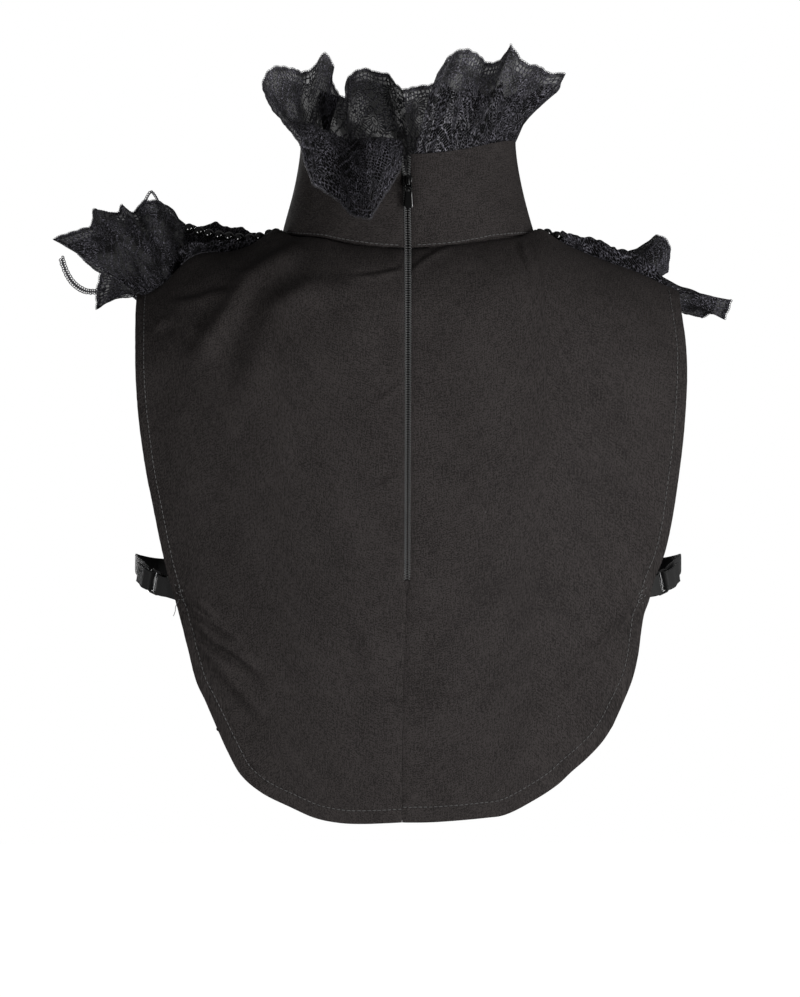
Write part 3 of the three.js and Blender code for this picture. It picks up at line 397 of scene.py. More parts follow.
# %% Floor
FLOOR_Z, FLOOR_RADIUS, FLOOR_SIDES = -1.4, 12, 64
floor_finish = Finish("floor", Roughness=0.9, Base_Color=grey(0.85))
speckle = floor_finish.noise(floor_finish.node("ShaderNodeTexCoord", out="Object"), 3, 2)
floor_finish.set(Emission_Color=floor_finish.mix(speckle, grey(0.99), grey(1.0)))
floor_finish.set(Emission_Strength=0.97)
turns = np.linspace(0, 2 * math.pi, FLOOR_SIDES, endpoint=False)
rim = [(FLOOR_RADIUS * math.cos(a), FLOOR_RADIUS * math.sin(a), FLOOR_Z) for a in turns]
floor_mesh = bpy.data.meshes.new("floor")
floor_mesh.from_pydata(rim, [], [list(range(FLOOR_SIDES))])
floor_mesh.materials.append(floor_finish.material)
floor = in_scene("floor", floor_mesh)
floor.visible_diffuse = floor.visible_glossy = False

# %% [markdown]
# ## The body under the cloth
# The same formulas that shaped the measured model, here on whole arrays at once. A point of a panel
# is given by its distance from the centre and a "level", which is 0 on the shoulder seam, 1 where the
# cloth has turned over the shoulder, and grows downwards. All of it is in millimetres.

# %% Sizes shared with the measured model
SIDES = (("left", 1), ("right", -1))
NECK_HALF_WIDTH, NECK_BACK_DEPTH, NECK_FRONT_DEPTH = 79, 66, 62
RIDGE_Y = -4
SHOULDER_HALF = 168
COLLAR_TOP_HALF_WIDTH, COLLAR_TOP_BACK_DEPTH, COLLAR_TOP_FRONT_DEPTH = 67, 57, 58
COLLAR_FLARE = 1.5
BAND_LIFT = 2.3
ZIP_BOTTOM_Z = -205
BACK_PROFILE = np.array([  # z, depth, fall
    (-352, 68, 40), (-260, 83, 48), (-208, 92, 60), (-170, 97, 54),
    (-120, 100, 49), (-80, 97, 50), (-40, 91, 51), (20, 90, 52),
])
FRONT_PROFILE = np.array([
    (-352, -90, 46), (-260, -104, 56), (-208, -116, 72), (-160, -119, 72),
    (-110, -106, 62), (-60, -89, 54), (20, -86, 54),
])


# %% Curves through tables
def rise(t):
    s = np.clip(t, 0, 1)
    return s * s * (3 - 2 * s)


def through(table, column):
    """A smooth curve of one column against the first, through a table's rows."""
    z, value = table[:, 0], table[:, column]
    index = np.arange(len(z))
    before, after = np.maximum(index - 1, 0), np.minimum(index + 1, len(z) - 1)
    slope = (value[after] - value[before]) / (z[after] - z[before])

    def curve(height):
        h = np.clip(height, z[0], z[-1])
        i = np.clip(np.searchsorted(z, h, side="right") - 1, 0, len(z) - 2)
        span = z[i + 1] - z[i]
        t = (h - z[i]) / span
        cubic = t * t * (3 - 2 * t)
        start = t * (1 - t) ** 2 * span * slope[i]
        end = t * t * (t - 1) * span * slope[i + 1]
        return value[i] * (1 - cubic) + value[i + 1] * cubic + start + end

    return curve


def along(rows, t):
    """A point on a smooth line through the rows, for t from 0 to 1."""
    rows = np.asarray(rows, float)
    place = np.clip(t, 0, 1) * (len(rows) - 1)
    i = np.clip(place.astype(int), 0, len(rows) - 2)
    w = (place - i)[..., None]
    p0, p1 = rows[np.maximum(i - 1, 0)], rows[i]
    p2, p3 = rows[i + 1], rows[np.minimum(i + 2, len(rows) - 1)]
    v0, v1 = (p2 - p0) / 2, (p3 - p1) / 2
    cubic = (2 * p1 - 2 * p2 + v0 + v1) * w**3 + (-3 * p1 + 3 * p2 - 2 * v0 - v1) * w**2
    return cubic + v0 * w + p1


# %% The body's surface
class Side:
    """The back (sign 1) or the front (-1) of the body: how deep it is and how it falls away."""

    def __init__(self, sign, round_height, power, neck_depth, profile):
        self.sign, self.round, self.power, self.neck_depth = sign, round_height, power, neck_depth
        self.depth, self.fall = through(profile, 1), through(profile, 2)


BACK = Side(1, 60, 2.2, NECK_BACK_DEPTH, BACK_PROFILE)
FRONT = Side(-1, 110, 3, NECK_FRONT_DEPTH, FRONT_PROFILE)


def ridge_height(x):
    return 16 - 41 * np.clip((np.abs(x) - 50) / 120, 0, 1.1) ** 1.35


def full_depth(side, x, z):
    return side.depth(z) - side.sign * side.fall(z) * (np.abs(x) / SHOULDER_HALF) ** side.power


def body_point(side, x, level):
    turn = np.minimum(level, 1) * math.pi / 2
    below = np.maximum(level - 1, 0) * side.round * math.pi / 2
    z = ridge_height(x) - side.round * (1 - np.cos(turn)) - below
    y = RIDGE_Y + (full_depth(side, x, z) - RIDGE_Y) * np.sin(turn)
    return np.stack([x, y, z], -1)


def level_at_height(side, x, z):
    drop = np.maximum(ridge_height(x) - z, 0)
    turned = np.arccos(np.clip(1 - drop / side.round, -1, 1)) * 2 / math.pi
    return np.where(drop < side.round, turned, 1 + (drop - side.round) * 2 / (side.round * math.pi))


def level_at_depth(side, x, y):
    z = ridge_height(x)
    for _ in range(8):
        turn = np.arcsin(np.minimum((y - RIDGE_Y) / (full_depth(side, x, z) - RIDGE_Y), 1))
        z = ridge_height(x) - side.round * (1 - np.cos(turn))
    return turn * 2 / math.pi


def surface_below(x, y):
    back = body_point(BACK, x, level_at_depth(BACK, x, np.maximum(y, RIDGE_Y)))
    front = body_point(FRONT, x, level_at_depth(FRONT, x, np.minimum(y, RIDGE_Y)))
    return np.where((y >= RIDGE_Y)[..., None], back, front)


def neck_seam(angle):
    depth = np.where(np.cos(angle) > 0, NECK_BACK_DEPTH, NECK_FRONT_DEPTH)
    return surface_below(-NECK_HALF_WIDTH * np.sin(angle), RIDGE_Y + depth * np.cos(angle))


def collar_top(angle):
    depth = np.where(np.cos(angle) > 0, COLLAR_TOP_BACK_DEPTH, COLLAR_TOP_FRONT_DEPTH)
    z = 57.9 + 8.3 * np.cos(angle) - 9.6 * np.cos(2 * angle)
    return np.stack(
        [-COLLAR_TOP_HALF_WIDTH * np.sin(angle), RIDGE_Y + depth * np.cos(angle), z], -1
    )


def collar_point(angle, height, lift=BAND_LIFT):
    low, high = neck_seam(angle), collar_top(angle)
    low[..., 2] += lift
    share = np.stack([(1 - height) ** COLLAR_FLARE] * 2 + [1 - height], -1)
    return high + (low - high) * share


print("neck seam at the back", np.round(neck_seam(np.array([0.0])), 1))

# %% [markdown]
# ## Cloth as a closed sheet
# A sheet is a grid of points for its outer face. Its normals come from the grid, the inner face lies
# a wall's thickness behind, and a rim closes the edges. Each vertex keeps its place on the flat
# cloth.

# %% Cut sizes, in metres: the two sides of each piece of cloth before it was sewn
HEM_CUT_WIDTH = 0.012
PANEL_EASE, BAND_EASE = 1.04, 1.03  # cut area over the hung one
GATHERED_CUT = 1.25  # the same for lace, with what its gathers take up


# %% Sheets
def grid_normals(points):
    across = np.gradient(points, axis=0)
    down = np.gradient(points, axis=1)
    normal = np.cross(across, down)
    return normal / np.maximum(np.linalg.norm(normal, axis=-1, keepdims=True), 1e-9)


def lengths(points, axis):
    """The distance run along an axis of a grid, starting from 0."""
    step = np.linalg.norm(np.diff(points, axis=axis), axis=-1)
    pad = [(0, 0)] * step.ndim
    pad[axis] = (1, 0)
    return np.pad(np.cumsum(step, axis=axis), pad)


def sheet_area(points):
    """A grid's area in square metres."""
    across = points[1:, :-1] - points[:-1, :-1]
    down = points[:-1, 1:] - points[:-1, :-1]
    return float(np.linalg.norm(np.cross(across, down), axis=-1).sum()) * MM * MM


def run_places(points):
    """Each point's place on the flat cloth, as the distance run over the grid both ways."""
    return np.stack([lengths(points, 0), lengths(points, 1)], -1)


def shell(points, wall, flat, normal):
    """Vertices, faces and flat places of a closed sheet, whose outer face is the grid."""
    columns, rows = points.shape[:2]
    inner = points - normal * wall
    vertices = np.concatenate([points.reshape(-1, 3), inner.reshape(-1, 3)])
    index = np.arange(columns * rows).reshape(columns, rows)
    a, b = index[:-1, :-1], index[1:, :-1]
    c, d = index[1:, 1:], index[:-1, 1:]
    outer = np.stack([a, b, c, d], -1).reshape(-1, 4)
    shift = columns * rows
    edge = np.concatenate([index[:-1, 0], index[-1, :-1], index[:0:-1, -1], index[0, :0:-1]])
    following = np.roll(edge, -1)
    rim_faces = np.stack([following, edge, edge + shift, following + shift], -1)
    faces = np.concatenate([outer, outer[:, ::-1] + shift, rim_faces])
    flat3 = np.concatenate([flat, np.zeros(flat.shape[:2] + (1,))], -1).reshape(-1, 3)
    return vertices, faces, np.concatenate([flat3, flat3])


def joined(*shells):
    """Several shells as one set of vertices, faces and flat places."""
    starts = np.cumsum([0] + [len(s[0]) for s in shells[:-1]])
    faces = np.concatenate([s[1] + start for s, start in zip(shells, starts)])
    return np.concatenate([s[0] for s in shells]), faces, np.concatenate([s[2] for s in shells])


def smooth_piece(name, mesh, material, sharp):
    """An object of a mesh, shaded smooth up to an angle in degrees."""
    mesh.polygons.foreach_set("use_smooth", np.ones(len(mesh.polygons), bool))
    mesh.set_sharp_from_angle(angle=math.radians(sharp))
    mesh.materials.append(material)
    return in_scene(name, mesh)


def add_mesh(name, made, material, sharp=40):
    """A piece from vertices, faces and flat places, with its faces turned outwards."""
    vertices, faces, flat = made
    a, b, c, d = (vertices[faces[:, k]] for k in range(4))
    volume = np.einsum("ij,ij->i", a, np.cross(b, c)).sum()
    volume += np.einsum("ij,ij->i", a, np.cross(c, d)).sum()
    if volume < 0:
        faces = faces[:, ::-1]
    mesh = bpy.data.meshes.new(name)
    mesh.from_pydata((vertices * MM).tolist(), [], faces.tolist())
    place = mesh.attributes.new("flat", "FLOAT_VECTOR", "POINT")
    place.data.foreach_set("vector", flat.astype(np.float32).ravel())
    return smooth_piece(name, mesh, material, sharp)


def settle(piece, slot, *nodes, body="garment"):
    """Give a piece its body and hide the measured solids that it stands for. slot is not used."""
    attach(piece, body)
    if nodes:
        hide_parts(*nodes)
    return piece


# %% [markdown]
# ## Rows along a path
# Stitches and the lace's small loops repeat along a line, so Geometry Nodes place them: the path is
# resampled at a spacing, a small ball or ring is put on each point, turned to the path and to the
# cloth's outward direction, and all of it is realized. A second tree sweeps a round thread along a
# path, for cords and the zip's coils. The result is kept as a plain mesh, and the modifier goes.


# %% Node trees
class Tree:
    """A geometry node tree, and a short way to add a node to it."""

    def __init__(self, name, inputs):
        self.tree = bpy.data.node_groups.new(name, "GeometryNodeTree")
        face = self.tree.interface
        face.new_socket("Geometry", in_out="INPUT", socket_type="NodeSocketGeometry")
        for label, kind in inputs.items():
            face.new_socket(label, in_out="INPUT", socket_type="NodeSocket" + kind)
        face.new_socket("Geometry", in_out="OUTPUT", socket_type="NodeSocketGeometry")
        self.source = self.tree.nodes.new("NodeGroupInput").outputs

    def node(self, kind, settings=None, **inputs):
        made = self.tree.nodes.new(kind)
        for name, value in (settings or {}).items():
            setattr(made, name, value)
        for name, value in inputs.items():
            socket = made.inputs[name.replace("_", " ")]
            if isinstance(value, bpy.types.NodeSocket):
                self.tree.links.new(value, socket)
            else:
                socket.default_value = value
        return made.outputs

    def close(self, geometry):
        smooth = self.node("GeometryNodeSetShadeSmooth", Geometry=geometry)[0]
        done = self.node("GeometryNodeSetMaterial", Geometry=smooth, Material=self.source["Material"])
        end = self.tree.nodes.new("NodeGroupOutput")
        self.tree.links.new(done[0], end.inputs[0])
        return self.tree


def row_tree(name, ring):
    sizes = {"Spacing": "Float", "Size": "Vector", "Thread": "Float", "Material": "Material"}
    t = Tree(name, sizes)
    curve = t.node("GeometryNodeMeshToCurve", Mesh=t.source["Geometry"])[0]
    points = t.node(
        "GeometryNodeCurveToPoints", {"mode": "LENGTH"}, Curve=curve, Length=t.source["Spacing"]
    )
    out = t.node("GeometryNodeInputNamedAttribute", {"data_type": "FLOAT_VECTOR"}, Name="out")[0]
    turn_to = "FunctionNodeAlignRotationToVector"
    lie = t.node(turn_to, {"axis": "X"}, Vector=points["Tangent"])[0]
    stand = t.node(turn_to, {"axis": "Z", "pivot_axis": "X"}, Rotation=lie, Vector=out)[0]
    if ring:
        circle = "GeometryNodeCurvePrimitiveCircle"
        hoop = t.node(circle, Resolution=9, Radius=0.5)["Curve"]
        section = t.node(circle, Resolution=4, Radius=t.source["Thread"])
        shape = t.node("GeometryNodeCurveToMesh", Curve=hoop, Profile_Curve=section["Curve"])[0]
    else:
        shape = t.node("GeometryNodeMeshUVSphere", Segments=8, Rings=5, Radius=0.5)["Mesh"]
    placed = t.node(
        "GeometryNodeInstanceOnPoints",
        Points=points["Points"],
        Instance=shape,
        Rotation=stand,
        Scale=t.source["Size"],
    )[0]
    return t.close(t.node("GeometryNodeRealizeInstances", Geometry=placed)[0])


def thread_tree(name):
    t = Tree(name, {"Thread": "Float", "Sides": "Int", "Material": "Material"})
    curve = t.node("GeometryNodeMeshToCurve", Mesh=t.source["Geometry"])[0]
    section = t.node(
        "GeometryNodeCurvePrimitiveCircle", Resolution=t.source["Sides"], Radius=t.source["Thread"]
    )
    tube = t.node(
        "GeometryNodeCurveToMesh", Curve=curve, Profile_Curve=section["Curve"], Fill_Caps=True
    )
    return t.close(t.node("GeometryNodeRealizeInstances", Geometry=tube[0])[0])


BALLS, RINGS, THREADS = row_tree("balls", False), row_tree("rings", True), thread_tree("threads")


# %% Grow a tree on paths
def grow(name, tree, paths, outs=None, **inputs):
    """paths is a list of arrays of points, in millimetres. outs gives each point's outward way, and
    inputs are the tree's own, in metres."""
    vertices = np.concatenate(paths) * MM
    edges, start = [], 0
    for path in paths:
        edges += [(start + k, start + k + 1) for k in range(len(path) - 1)]
        start += len(path)
    mesh = bpy.data.meshes.new(name)
    mesh.from_pydata(vertices.tolist(), edges, [])
    out = mesh.attributes.new("out", "FLOAT_VECTOR", "POINT")
    ways = np.tile((0, 1, 0), (len(vertices), 1)) if outs is None else np.concatenate(outs)
    out.data.foreach_set("vector", ways.astype(np.float32).ravel())
    piece = in_scene(name, mesh)
    modifier = piece.modifiers.new("grow", "NODES")
    modifier.node_group = tree
    for socket in tree.interface.items_tree:
        if socket.name in inputs and socket.in_out == "INPUT":
            modifier[socket.identifier] = inputs[socket.name]
    graph = bpy.context.evaluated_depsgraph_get()
    made = bpy.data.meshes.new_from_object(piece.evaluated_get(graph))
    made.name = name
    piece.modifiers.clear()
    piece.data = made
    print(name, len(made.polygons), "faces")
    return piece


# %% [markdown]
# ## Cotton panels
# The back is two halves, joined by the zip and by a seam under it, and the front is one piece. Each
# is cut flat and shaped by how it hangs, so its edges are curves on the flat cloth and its inside is
# blended from them. The hem is turned in and stitched, which leaves a low ridge all round, and the
# straps and the zip pull creases into the cloth. A crease is a line on the cloth with a width, a
# height and a lean: the cloth rises on one side of the line and sinks on the other.

# %% Outlines, as (x, z) from the shoulder down the side, then round the bottom to the middle
LEFT_SIDE = np.array([
    (168, -24), (168, -37.8), (167.1, -62.5), (166.3, -81), (164.2, -105.5), (159.8, -135.9),
    (156.2, -154.2), (150.8, -181.6), (146.6, -200), (140.4, -221.3), (134.8, -242.5),
    (129.3, -263.8), (123.7, -275.9), (115.8, -294.1),
], float)
LEFT_HEM = np.array([
    (115.8, -294.1), (109.7, -307.4), (101.7, -321.4), (88.9, -332.1), (71.8, -340.4),
    (56.6, -347), (41.5, -349.9), (26.3, -350.4), (5.1, -349.5),
], float)
RIGHT_SIDE = np.array([
    (-168, -24), (-168.3, -37.8), (-170, -56.3), (-170.4, -74.7), (-169.6, -93.1),
    (-167.5, -117.6), (-164.5, -142), (-160.9, -166.4), (-156.2, -187.8), (-150.1, -203.1),
    (-147, -215.3), (-143.8, -224), (-141.9, -234.7), (-140, -248.7), (-136.3, -263.9),
    (-129.8, -279.7), (-124.3, -291.8),
], float)
RIGHT_HEM = np.array([
    (-124.3, -291.8), (-117.8, -301.5), (-108.6, -311.1), (-98.8, -319.5), (-90.2, -327.3),
    (-77.4, -335.6), (-59.8, -344.6), (-45.8, -346.9), (-16.7, -349.2), (3, -349.5),
], float)
FRONT_SIDE = np.array([
    (168, -24), (168, -60), (167, -110), (161, -148), (148, -200), (138, -240), (130, -275),
    (115, -304),
], float)
FRONT_HEM = np.array([(115, -304), (95, -327), (66, -343), (33, -350), (0, -351)], float)
CENTRE = np.array([  # z, how far the centre line has strayed from the middle
    (-351, 3.9), (-275, 3.3), (-208, 0.9), (-100, 0.4), (0, 0.3), (38, 0.9), (60, 2.1), (70, 2.3),
])


def centre_x(z):
    return np.interp(z, CENTRE[:, 0], CENTRE[:, 1])


def centre_gap(z):
    """From the centre line to the cloth on each side, which is less below the zip."""
    return 0.07 + 1.5 * rise((z - ZIP_BOTTOM_Z) / 8 + 1) + 0.8 * rise((z + 110) / 100)


# %% Panel grid
SEAM_GAP = 0.65


def even(rows, count, fine=400):
    """Points at even distances along a smooth line through the rows."""
    line = along(rows, np.linspace(0, 1, fine))
    run = lengths(line, 0)
    stops = np.linspace(0, run[-1], count)
    return np.stack([np.interp(stops, run, line[:, k]) for k in (0, 1)], -1)


def half_panel(side, sign, side_rows, hem_rows, columns, rows, gap, middle):
    """Points of half a panel, from the centre out and from the shoulder down."""

    def seam_level(x):
        return level_at_depth(side, x, np.full(x.shape, RIDGE_Y + side.sign * SEAM_GAP))

    def plan(points):
        x, z = points[:, 0], points[:, 1]
        return np.stack([x, np.maximum(level_at_height(side, x, z), seam_level(x))], -1)

    u, v = np.linspace(0, 1, columns), np.linspace(0, 1, rows)
    first = np.arcsin((gap(0.0) + sign * middle(0.0)) / NECK_HALF_WIDTH)
    angle = first + (math.pi / 2 - first) * np.minimum(u * 2, 1)
    neck_x = NECK_HALF_WIDTH * np.sin(angle)
    neck_y = RIDGE_Y + side.sign * side.neck_depth * np.cos(angle)
    x = neck_x + (SHOULDER_HALF - NECK_HALF_WIDTH) * np.maximum(u * 2 - 1, 0)
    level = np.maximum(level_at_depth(side, x, neck_y), seam_level(x))
    top = np.stack([sign * x, np.where(u > 0.5, seam_level(x), level)], -1)
    armhole = plan(even(side_rows, rows))
    hem = plan(even(hem_rows, columns)[::-1])
    hem[0, 0] = sign * gap(-351.0) + middle(-351.0)
    down = top[0, 1] + (hem[0, 1] - top[0, 1]) * v
    z = body_point(side, np.zeros(rows), down)[:, 2]
    centre = np.stack([sign * gap(z) + middle(z), down], -1)
    uu, vv = u[:, None, None], v[None, :, None]
    across = centre[None] * (1 - uu) + armhole[None] * uu
    downward = top[:, None] * (1 - vv) + hem[:, None] * vv
    corners = (top[0] * (1 - uu) + top[-1] * uu) * (1 - vv)
    corners = corners + (hem[0] * (1 - uu) + hem[-1] * uu) * vv
    flat = across + downward - corners
    return body_point(side, flat[..., 0], flat[..., 1])


# %% Creases
BACK_CREASES = [  # points (x, z), half width, height, lean
    ([(70, 3), (101, -16), (112, -36), (128, -59)], 8, 4.2, 0.8),
    ([(60, -20), (84, -38), (96, -62), (104, -90)], 12, 2.6, 0.7),
    ([(34, -27), (62, -29), (86, -38)], 8, 3.0, 0),
    ([(22, -56), (58, -62), (92, -70)], 22, 3.2, 0),
    ([(112, -24), (128, -30), (143, -32)], 5, 2.4, 0.8),
    ([(147, -45), (154, -51)], 4, 1.8, -0.6),
    ([(146, -42), (125, -59)], 5, 2.2, 0.6),
    ([(5, -15), (18, -18), (32, -20)], 2.6, 1.6, 0.6),
    ([(6, -85), (18, -94)], 2.6, 1.2, 0.5),
    ([(6, -138), (21, -147)], 2.6, 1.2, 0.5),
    ([(-2, -15), (-12, -7), (-23, -1)], 2.6, 1.6, -0.5),
    ([(-67, 2), (-74, -20)], 3, 0.9, 0.9),
    ([(-2, -203), (-12, -203)], 2.2, 1.3, 0.6),
    ([(-2, -213), (-11, -214)], 2.2, 1.3, 0.6),
    ([(-1, -226), (-24, -224)], 2.6, 1.4, 0.6),
    ([(0, -252), (-18, -250)], 2.6, 1.3, 0.6),
    ([(3, -229), (14, -231)], 2.6, 1.2, 0.5),
    ([(11, -272), (4, -279)], 2.6, 1.4, 0.6),
    ([(2, -276), (-14, -272), (-30, -271)], 3.4, 1.6, 0.6),
    ([(139, -214), (128, -217), (118, -226)], 2.2, 2.5, 0.7),
    ([(135, -218), (120, -229), (106, -238)], 2.6, 2.9, 0.7),
    ([(130, -230), (118, -241), (106, -248), (94, -257)], 3.8, 4.2, 0.7),
    ([(127, -243), (112, -262), (92, -284)], 5, 2.4, 0.6),
    ([(-139, -218), (-130, -228), (-121, -238), (-113, -246)], 2.8, 2.2, -0.7),
    ([(-122, -242), (-102, -259), (-86, -274), (-74, -286)], 5, 2.4, -0.6),
    ([(40, -212), (28, -240), (22, -268)], 9, 1.2, 0.5),
]


def line_distance(x, z, line):
    """Signed distance from a broken line, and how far along it, 0 to 1."""
    line = np.asarray(line, float)
    best, signed, share = np.full(x.shape, 1e9), np.zeros(x.shape), np.zeros(x.shape)
    for k, (start, end) in enumerate(zip(line[:-1], line[1:])):
        way = end - start
        size = np.hypot(*way)
        t = ((x - start[0]) * way[0] + (z - start[1]) * way[1]) / size**2
        near = np.clip(t, 0, 1)
        gap = np.hypot(x - start[0] - near * way[0], z - start[1] - near * way[1])
        side = (x - start[0]) * way[1] - (z - start[1]) * way[0]
        closer = gap < best
        best = np.where(closer, gap, best)
        signed = np.where(closer, side / size, signed)
        share = np.where(closer, (k + t) / (len(line) - 1), share)
    return signed, share


def crease_height(x, z, creases):
    total = np.zeros(x.shape)
    for line, width, height, lean in creases:
        signed, share = line_distance(x, z, line)
        s = signed / width
        ends = rise((share + 0.15) / 0.3) * rise((1.3 - share) / 0.6)
        total += height * ends * np.exp(-(s**2)) * (1 - abs(lean) + 1.9 * lean * s)
    return total


def soft_waves(x, z, seed, size, waves=9):
    """Low, wide undulations of hanging cloth, from a few crossing waves with fixed phases."""
    chance = np.random.default_rng(seed)
    total = np.zeros(x.shape)
    for _ in range(waves):
        angle = chance.normal(0, 0.45)
        length = chance.uniform(28, 90)
        phase = chance.uniform(0, 2 * math.pi)
        run = x * math.cos(angle) + z * math.sin(angle)
        drift = 9 * np.sin(z / 61 + phase) + 6 * np.sin((x + z) / 43 + 2 * phase)
        total += np.sin((run + drift) * 2 * math.pi / length + phase) * length / 60
    return total * size / waves


# %% Hems
def edge_distance(points, border):
    """The distance of each grid point from a border line, taken in blocks to save memory."""
    flat = points.reshape(-1, 3)
    parts = [
        np.sqrt(((block[:, None] - border[None]) ** 2).sum(-1).min(1))
        for block in np.array_split(flat, 60)
    ]
    return np.concatenate(parts).reshape(points.shape[:2])


def hem_height(points, distance, width):
    """A turned hem: doubled cloth stands proud, dips at its stitches and puckers between them."""
    proud = 0.3 * (1 - rise((distance - width) / 1.6 + 0.5))
    dip = -0.32 * np.exp(-(((distance - width + 1.0) / 1.1) ** 2))
    run = points[..., 0] * 0.35 - points[..., 2]
    pucker = np.sin(run * 0.83 + 1.3 * np.sin(run * 0.21)) * np.sin(run * 0.19 + 1)
    return proud + dip + 0.32 * pucker * np.exp(-(((distance - width) / 5.5) ** 2))


def shoulder_swell(x, y):
    """How far the back stands up beside the shoulder seams, by the neck and under the left lace."""
    plan = np.hypot(x / NECK_HALF_WIDTH, (y - RIDGE_Y) / NECK_BACK_DEPTH)
    total = np.zeros(x.shape)
    for centre, width, size, fade in ((79, 13, 6.8, 27), (130, 15, 6.5, 16), (-78, 13, 5.6, 27)):
        swell = size * np.exp(-(((x - centre) / width) ** 2))
        total += swell * np.exp(-((np.maximum(y - 4, 0) / fade) ** 2))
    return total * rise((y + 2.5) / 6) * rise((plan - 1) * NECK_HALF_WIDTH / 2.2)


def outward(points, inside=(0, 0, -150)):
    normal = grid_normals(points)
    facing = (normal * (points - np.array(inside))).sum()
    return normal if facing > 0 else -normal


def on_cloth(points, x, z, lift):
    """Points on a panel at the given x and z, and the way out of the cloth there."""
    normal = outward(points)
    here, ways = points.reshape(-1, 3), normal.reshape(-1, 3)
    near = np.argmin((here[None, :, 0] - x[:, None]) ** 2 + (here[None, :, 2] - z[:, None]) ** 2, 1)
    p, n = here[near], ways[near]
    y = p[:, 1] - (n[:, 0] * (x - p[:, 0]) + n[:, 2] * (z - p[:, 2])) / n[:, 1]
    return np.stack([x, y, z], -1) + n * lift, n


# %% [markdown]
# ### Back halves
# Each half has its own outline, because the worn piece hangs a little askew. The shell, the crease
# lines and the hem are worked out once for the grid and used again by the stitches.

# %% Back halves
WALL, ALLOWANCE_WALL, HEM_WALL = 0.8, 0.5, 0.45
BACKS = {}


def panel_sheet(name, points, node):
    """Make a panel's closed sheet from its outer face."""
    place = np.stack([points[..., 0], lengths(points, 1)], -1)
    piece = add_mesh(name, shell(points, WALL, place, outward(points)), COTTON)
    sheet_area(points) * PANEL_EASE
    settle(piece, "cotton", node)
    print(name, "area", round(sheet_area(points), 4), "square metres")


def inner_strip(name, grid, wall, normal):
    """A narrow strip of the cotton on the inside, such as a seam's allowance or a turned hem."""
    piece = add_mesh(name, shell(grid, wall, run_places(grid), normal), COTTON)
    sheet_area(grid)
    settle(piece, "cotton")


for side_name, sign, side_rows, hem_rows, hem_width in (
    ("left", 1, LEFT_SIDE, LEFT_HEM, 6.3),
    ("right", -1, RIGHT_SIDE, RIGHT_HEM, 7.6),
):
    grid = half_panel(BACK, sign, side_rows, hem_rows, 158, 306, centre_gap, centre_x)
    border = np.concatenate([grid[-1, 3:], grid[::-1, -1]])
    distance = edge_distance(grid, border)
    width = hem_width + 2.0 * rise((-grid[..., 2] - 250) / 60)
    x, z = grid[..., 0], grid[..., 2]
    fold = np.abs(x - centre_x(z)) - centre_gap(z)
    height = crease_height(x, z, BACK_CREASES) + hem_height(grid, distance, width)
    height += soft_waves(x, z, 4 + sign, 1.5) * rise((fold - 2) / 30) * rise(distance / 12)
    height -= 0.5 * np.exp(-((fold / 1.3) ** 2))
    from_neck = np.hypot(x / NECK_HALF_WIDTH, (grid[..., 1] - RIDGE_Y) / NECK_BACK_DEPTH) - 1
    height -= 0.7 * np.exp(-((from_neck * 70 / 1.8) ** 2)) * (z > -20)
    height += shoulder_swell(x, grid[..., 1])
    grid = grid + outward(grid) * height[..., None]
    BACKS[side_name] = (grid, distance - width)
    panel_sheet("back_" + side_name, grid, "back_panel_" + side_name)

# %% [markdown]
# ### Front
# The front is one plain panel, a mirror of itself, a little fuller over the chest than the back.

# %% Front
FRONT_CREASES = [
    ([(-60, -70), (-75, -150), (-70, -230)], 16, 1.2, 0.3),
    ([(55, -60), (72, -140), (78, -240)], 18, 1.3, -0.3),
    ([(0, -190), (-8, -260), (-4, -340)], 20, 1.4, 0.2),
    ([(135, -200), (110, -196), (88, -184)], 6, 1.2, 0.5),
    ([(-135, -200), (-112, -194), (-92, -186)], 6, 1.1, -0.5),
    ([(-118, -20), (-100, -60), (-92, -96)], 9, 1.0, 0.6),
    ([(120, -22), (104, -58), (98, -90)], 9, 1.1, -0.6),
]
FRONT_HEM_WIDTH = 8.0


def no_gap(z):
    return 0.0 * z


halves = [
    half_panel(FRONT, sign, FRONT_SIDE * (sign, 1), FRONT_HEM * (sign, 1), 106, 190, no_gap, no_gap)
    for sign in (-1, 1)
]
grid = np.concatenate([halves[0][::-1], halves[1][1:]])
border = np.concatenate([grid[0, 3:], grid[:, -1], grid[-1, 3:]])
distance = edge_distance(grid, border)
x, z = grid[..., 0], grid[..., 2]
height = crease_height(x, z, FRONT_CREASES) + hem_height(grid, distance, FRONT_HEM_WIDTH)
height += soft_waves(x, z, 21, 1.8) * rise(distance / 12) * rise((-z) / 40)
grid = grid + outward(grid) * height[..., None]
FRONT_GRID = (grid, distance - FRONT_HEM_WIDTH)
panel_sheet("front_panel", grid, "front_bib")

# %% [markdown]
# ### Stand collar
# The band is two layers with stiffening between them, so it stands smooth and thick. It widens in a
# curve from its top to the neck seam, and is open at the back where the zip closes it.

# %% Stand collar
BAND_WALL, NECK_MIDDLE = 1.4, (0, RIDGE_Y, 40)


def band_start(height):
    """The angle from the centre at which the band begins, on each side of the zip."""
    z = neck_seam(np.array([0.0]))[0, 2] + height * 62
    gap = 1.9 + 1.5 * height
    radius = NECK_HALF_WIDTH + (COLLAR_TOP_HALF_WIDTH - NECK_HALF_WIDTH) * height
    return np.arcsin((gap - centre_x(z)) / radius), np.arcsin((gap + centre_x(z)) / radius)


